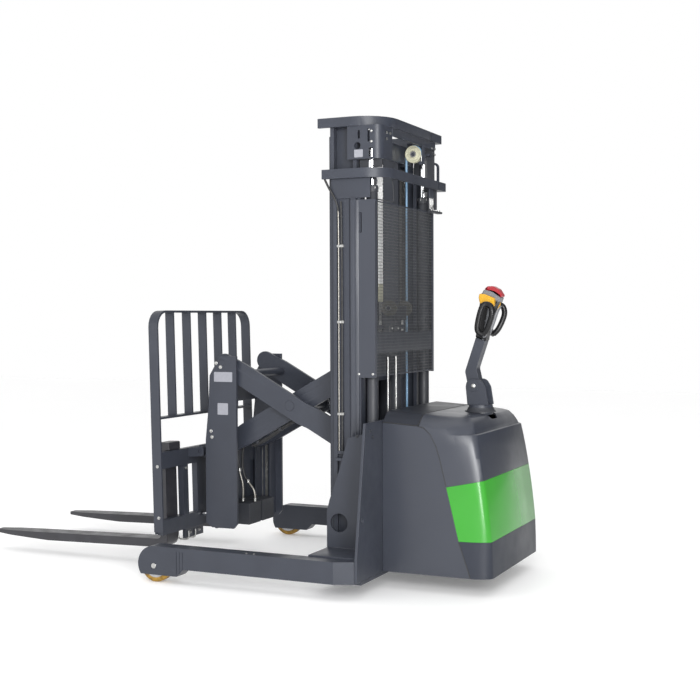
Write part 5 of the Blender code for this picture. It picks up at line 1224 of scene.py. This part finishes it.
class TRUCK_OT_tiller(bpy.types.Operator):
    """Mould the control head with its grips, rockers and stop button, and the tiller's foot"""
    bl_idname = "truck.tiller"
    bl_label = "Tiller"

    def execute(self, context):
        piece = finished("moulded", "grey_moulded", "yellow", "dark")
        piece.prism(rounded(COLUMN, COLUMN_CORNERS, 4), "XZ", -0.03, 0.03, 0.006)
        piece.prism(rounded(COLLAR, COLLAR_CORNERS, 3), "XZ", -0.033, 0.033, 0.006, 1)
        for sign in (1, -1):
            grip, yoke, spoke = (
                [Vector((x, sign * y, z)) for x, y, z in route] for route in (GRIP, YOKE, SPOKE)
            )
            piece.tube(through(grip + [grip[0]], 6), 0.013, 16, 0, straight=True)
            piece.tube(yoke, 0.0095, 14, 1, 6)
            piece.tube(spoke, 0.0085, 12, 0, 5)
            rocker = rounded(ROCKER, ROCKER_CORNERS, 3)
            piece.prism(rocker, "XZ", *span(sign, 0.026, 0.056), 0.004, 2)
            for place in BUTTONS:
                piece.rod("Y", place, 0.0065, *span(sign, 0.03, 0.036), 20, 0.001, 3)
        piece.done("control_head", "tiller", "black_plastic", ("tiller_head",))

        piece = finished("red", "grey_moulded")
        piece.prism(rounded(CAP, CAP_CORNERS, 4), "XZ", -0.029, 0.029, 0.008)
        piece.done("stop_cap", "tiller", "red_plastic", ("stop_button",))

        piece = finished("body", "dark", "zinc")
        low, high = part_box("tiller_base")
        cheek = rounded(CHEEK, CHEEK_CORNERS, 6)
        for sign in (1, -1):
            piece.prism(cheek, "XZ", *span(sign, 0.034, 0.046), 0.002)
            piece.prism(ring(0.026, 32, TILLER_PIVOT), "XZ", *span(sign, 0.046, 0.0485), 0.001)
        piece.bolts(FOOT_BOLT, None, 2)
        rim = high.z - 0.114
        piece.turned("Z", STEER_AXIS, (
            (low.z, 0.05), (low.z, 0.055), (rim - 0.008, 0.055), (rim - 0.002, 0.053),
            (rim, 0.047), (rim, 0.001),
        ), 48)
        piece.rod("Y", TILLER_PIVOT, 0.01, -0.034, 0.034, 24, 0.0, 2)
        piece.turned("Z", STEER_AXIS, BOOT, 48, 1, True)
        piece.done("tiller_foot", "steering", "dark_paint", ("tiller_base",))
        return {"FINISHED"}


class TRUCK_OT_stage(bpy.types.Operator):
    """Lay the pale floor, hang the studio lights and place the camera"""
    bl_idname = "truck.stage"
    bl_label = "Stage"

    def execute(self, context):
        make_floor()
        make_lights()
        make_camera()
        return {"FINISHED"}


# Stage

CAMERA_PLACE = (-2.3581, 5.2428, 1.2031)
CAMERA_YAW = math.radians(24.694)
CAMERA_PITCH = math.radians(1.602)
CAMERA_ROLL = math.radians(-0.209)
CAMERA_LENS = 61.92
FLOOR_GLOW = 0.16


def make_camera():
    data = bpy.data.cameras.new("photo_camera")
    data.lens = CAMERA_LENS
    data.sensor_width = 36.0
    camera = add_object("photo_camera", data)
    ahead = Vector((
        math.sin(CAMERA_YAW) * math.cos(CAMERA_PITCH),
        -math.cos(CAMERA_YAW) * math.cos(CAMERA_PITCH),
        -math.sin(CAMERA_PITCH),
    ))
    right = ahead.cross(Vector((0, 0, 1))).normalized()
    turn = Matrix((right, right.cross(ahead), -ahead)).transposed().to_4x4()
    roll = Matrix.Rotation(CAMERA_ROLL, 4, "Z")
    camera.matrix_world = Matrix.Translation(at(*CAMERA_PLACE)) @ turn @ roll
    bpy.context.scene.camera = camera


def make_floor():
    bm = bmesh.new()
    bmesh.ops.create_grid(bm, x_segments=1, y_segments=1, size=14.0)
    mesh = bpy.data.meshes.new("floor")
    bm.to_mesh(mesh)
    bm.free()
    floor = add_object("floor", mesh)
    floor.location.z = CAD_BOX[0].z - 0.0005
    pale = Finish("pale_floor", (0.9, 0.9, 0.9), 0.55).mottle(0.01, 0.8).relief(80.0, 0.00005)
    pale.shader.inputs["Emission Color"].default_value = (1.0, 1.0, 1.0, 1.0)
    pale.shader.inputs["Emission Strength"].default_value = FLOOR_GLOW
    mesh.materials.append(pale.material)


def area_light(name, place, target, size, power):
    data = bpy.data.lights.new(name, "AREA")
    data.shape = "RECTANGLE"
    data.size, data.size_y = size
    data.energy = power
    light = add_object(name, data)
    light.location = at(*place)
    look = at(*target) - light.location
    light.rotation_mode = "QUATERNION"
    light.rotation_quaternion = look.to_track_quat("-Z", "Y")


# Light: place, target, width and height, watts
LIGHTS = (
    ("key_light", (-2.2, 5.2, 2.6), (-0.4, 0.0, 0.8), (2.0, 1.6), 125.0),
    ("strip_light", (-4.5, 5.9, 1.5), (-0.5, 0.0, 0.9), (1.3, 3.2), 330.0),
    ("front_light", (3.4, 4.2, 2.2), (0.6, 0.0, 0.7), (1.6, 1.6), 14.0),
    ("top_light", (0.2, 0.2, 4.6), (0.0, 0.0, 0.0), (2.4, 2.4), 12.0),
)


# The studio is white all round but for this side, where a dark curtain hangs
DARK_SIDE = (-0.8, -0.6, 0.0)
CURTAIN_SHADE = 0.1


def make_lights():
    for light in LIGHTS:
        area_light(*light)
    world = bpy.data.worlds.new("studio")
    world.use_nodes = True
    tree = world.node_tree
    background = tree.nodes["Background"]
    coords = tree.nodes.new("ShaderNodeTexCoord")
    facing = tree.nodes.new("ShaderNodeVectorMath")
    facing.operation = "DOT_PRODUCT"
    facing.inputs[1].default_value = DARK_SIDE
    shade = map_range(tree, (0.5, 0.8), (1.0, CURTAIN_SHADE))
    shade.interpolation_type = "SMOOTHSTEP"
    tree.links.new(coords.outputs["Generated"], facing.inputs[0])
    tree.links.new(facing.outputs["Value"], shade.inputs["Value"])
    tree.links.new(shade.outputs["Result"], background.inputs["Color"])
    bpy.context.scene.world = world
    bpy.context.scene.view_settings.view_transform = "Standard"


CLASSES = [
    TruckPaint, TruckDetail, TRUCK_OT_stage, TRUCK_OT_solids, TRUCK_OT_guard,
    TRUCK_OT_cylinders, TRUCK_OT_wheels, TRUCK_OT_chains, TRUCK_OT_hoses,
    TRUCK_OT_mast_fittings, TRUCK_OT_base_fittings, TRUCK_OT_reach_fittings,
    TRUCK_OT_fork_fittings, TRUCK_OT_tiller,
]
STEPS = (
    "stage", "solids", "guard", "cylinders", "wheels", "chains", "hoses", "mast_fittings",
    "base_fittings", "reach_fittings", "fork_fittings", "tiller",
)


class TRUCK_PT_finish(bpy.types.Panel):
    """Lists the truck's finishing steps"""
    bl_label = "Truck"
    bl_idname = "TRUCK_PT_finish"
    bl_space_type = "VIEW_3D"
    bl_region_type = "UI"
    bl_category = "Truck"

    def draw(self, context):
        column = self.layout.column()
        for group in (context.scene.truck_paint, context.scene.truck_detail):
            for name in group.__annotations__:
                column.prop(group, name)
        for step in STEPS:
            column.operator("truck." + step)


def register():
    for made in (*CLASSES, TRUCK_PT_finish):
        bpy.utils.register_class(made)
    bpy.types.Scene.truck_paint = bpy.props.PointerProperty(type=TruckPaint)
    bpy.types.Scene.truck_detail = bpy.props.PointerProperty(type=TruckDetail)


def unregister():
    del bpy.types.Scene.truck_detail
    del bpy.types.Scene.truck_paint
    for made in reversed((*CLASSES, TRUCK_PT_finish)):
        bpy.utils.unregister_class(made)


def main():
    register()
    for step in STEPS:
        getattr(bpy.ops.truck, step)()


if __name__ == "__main__":
    main()
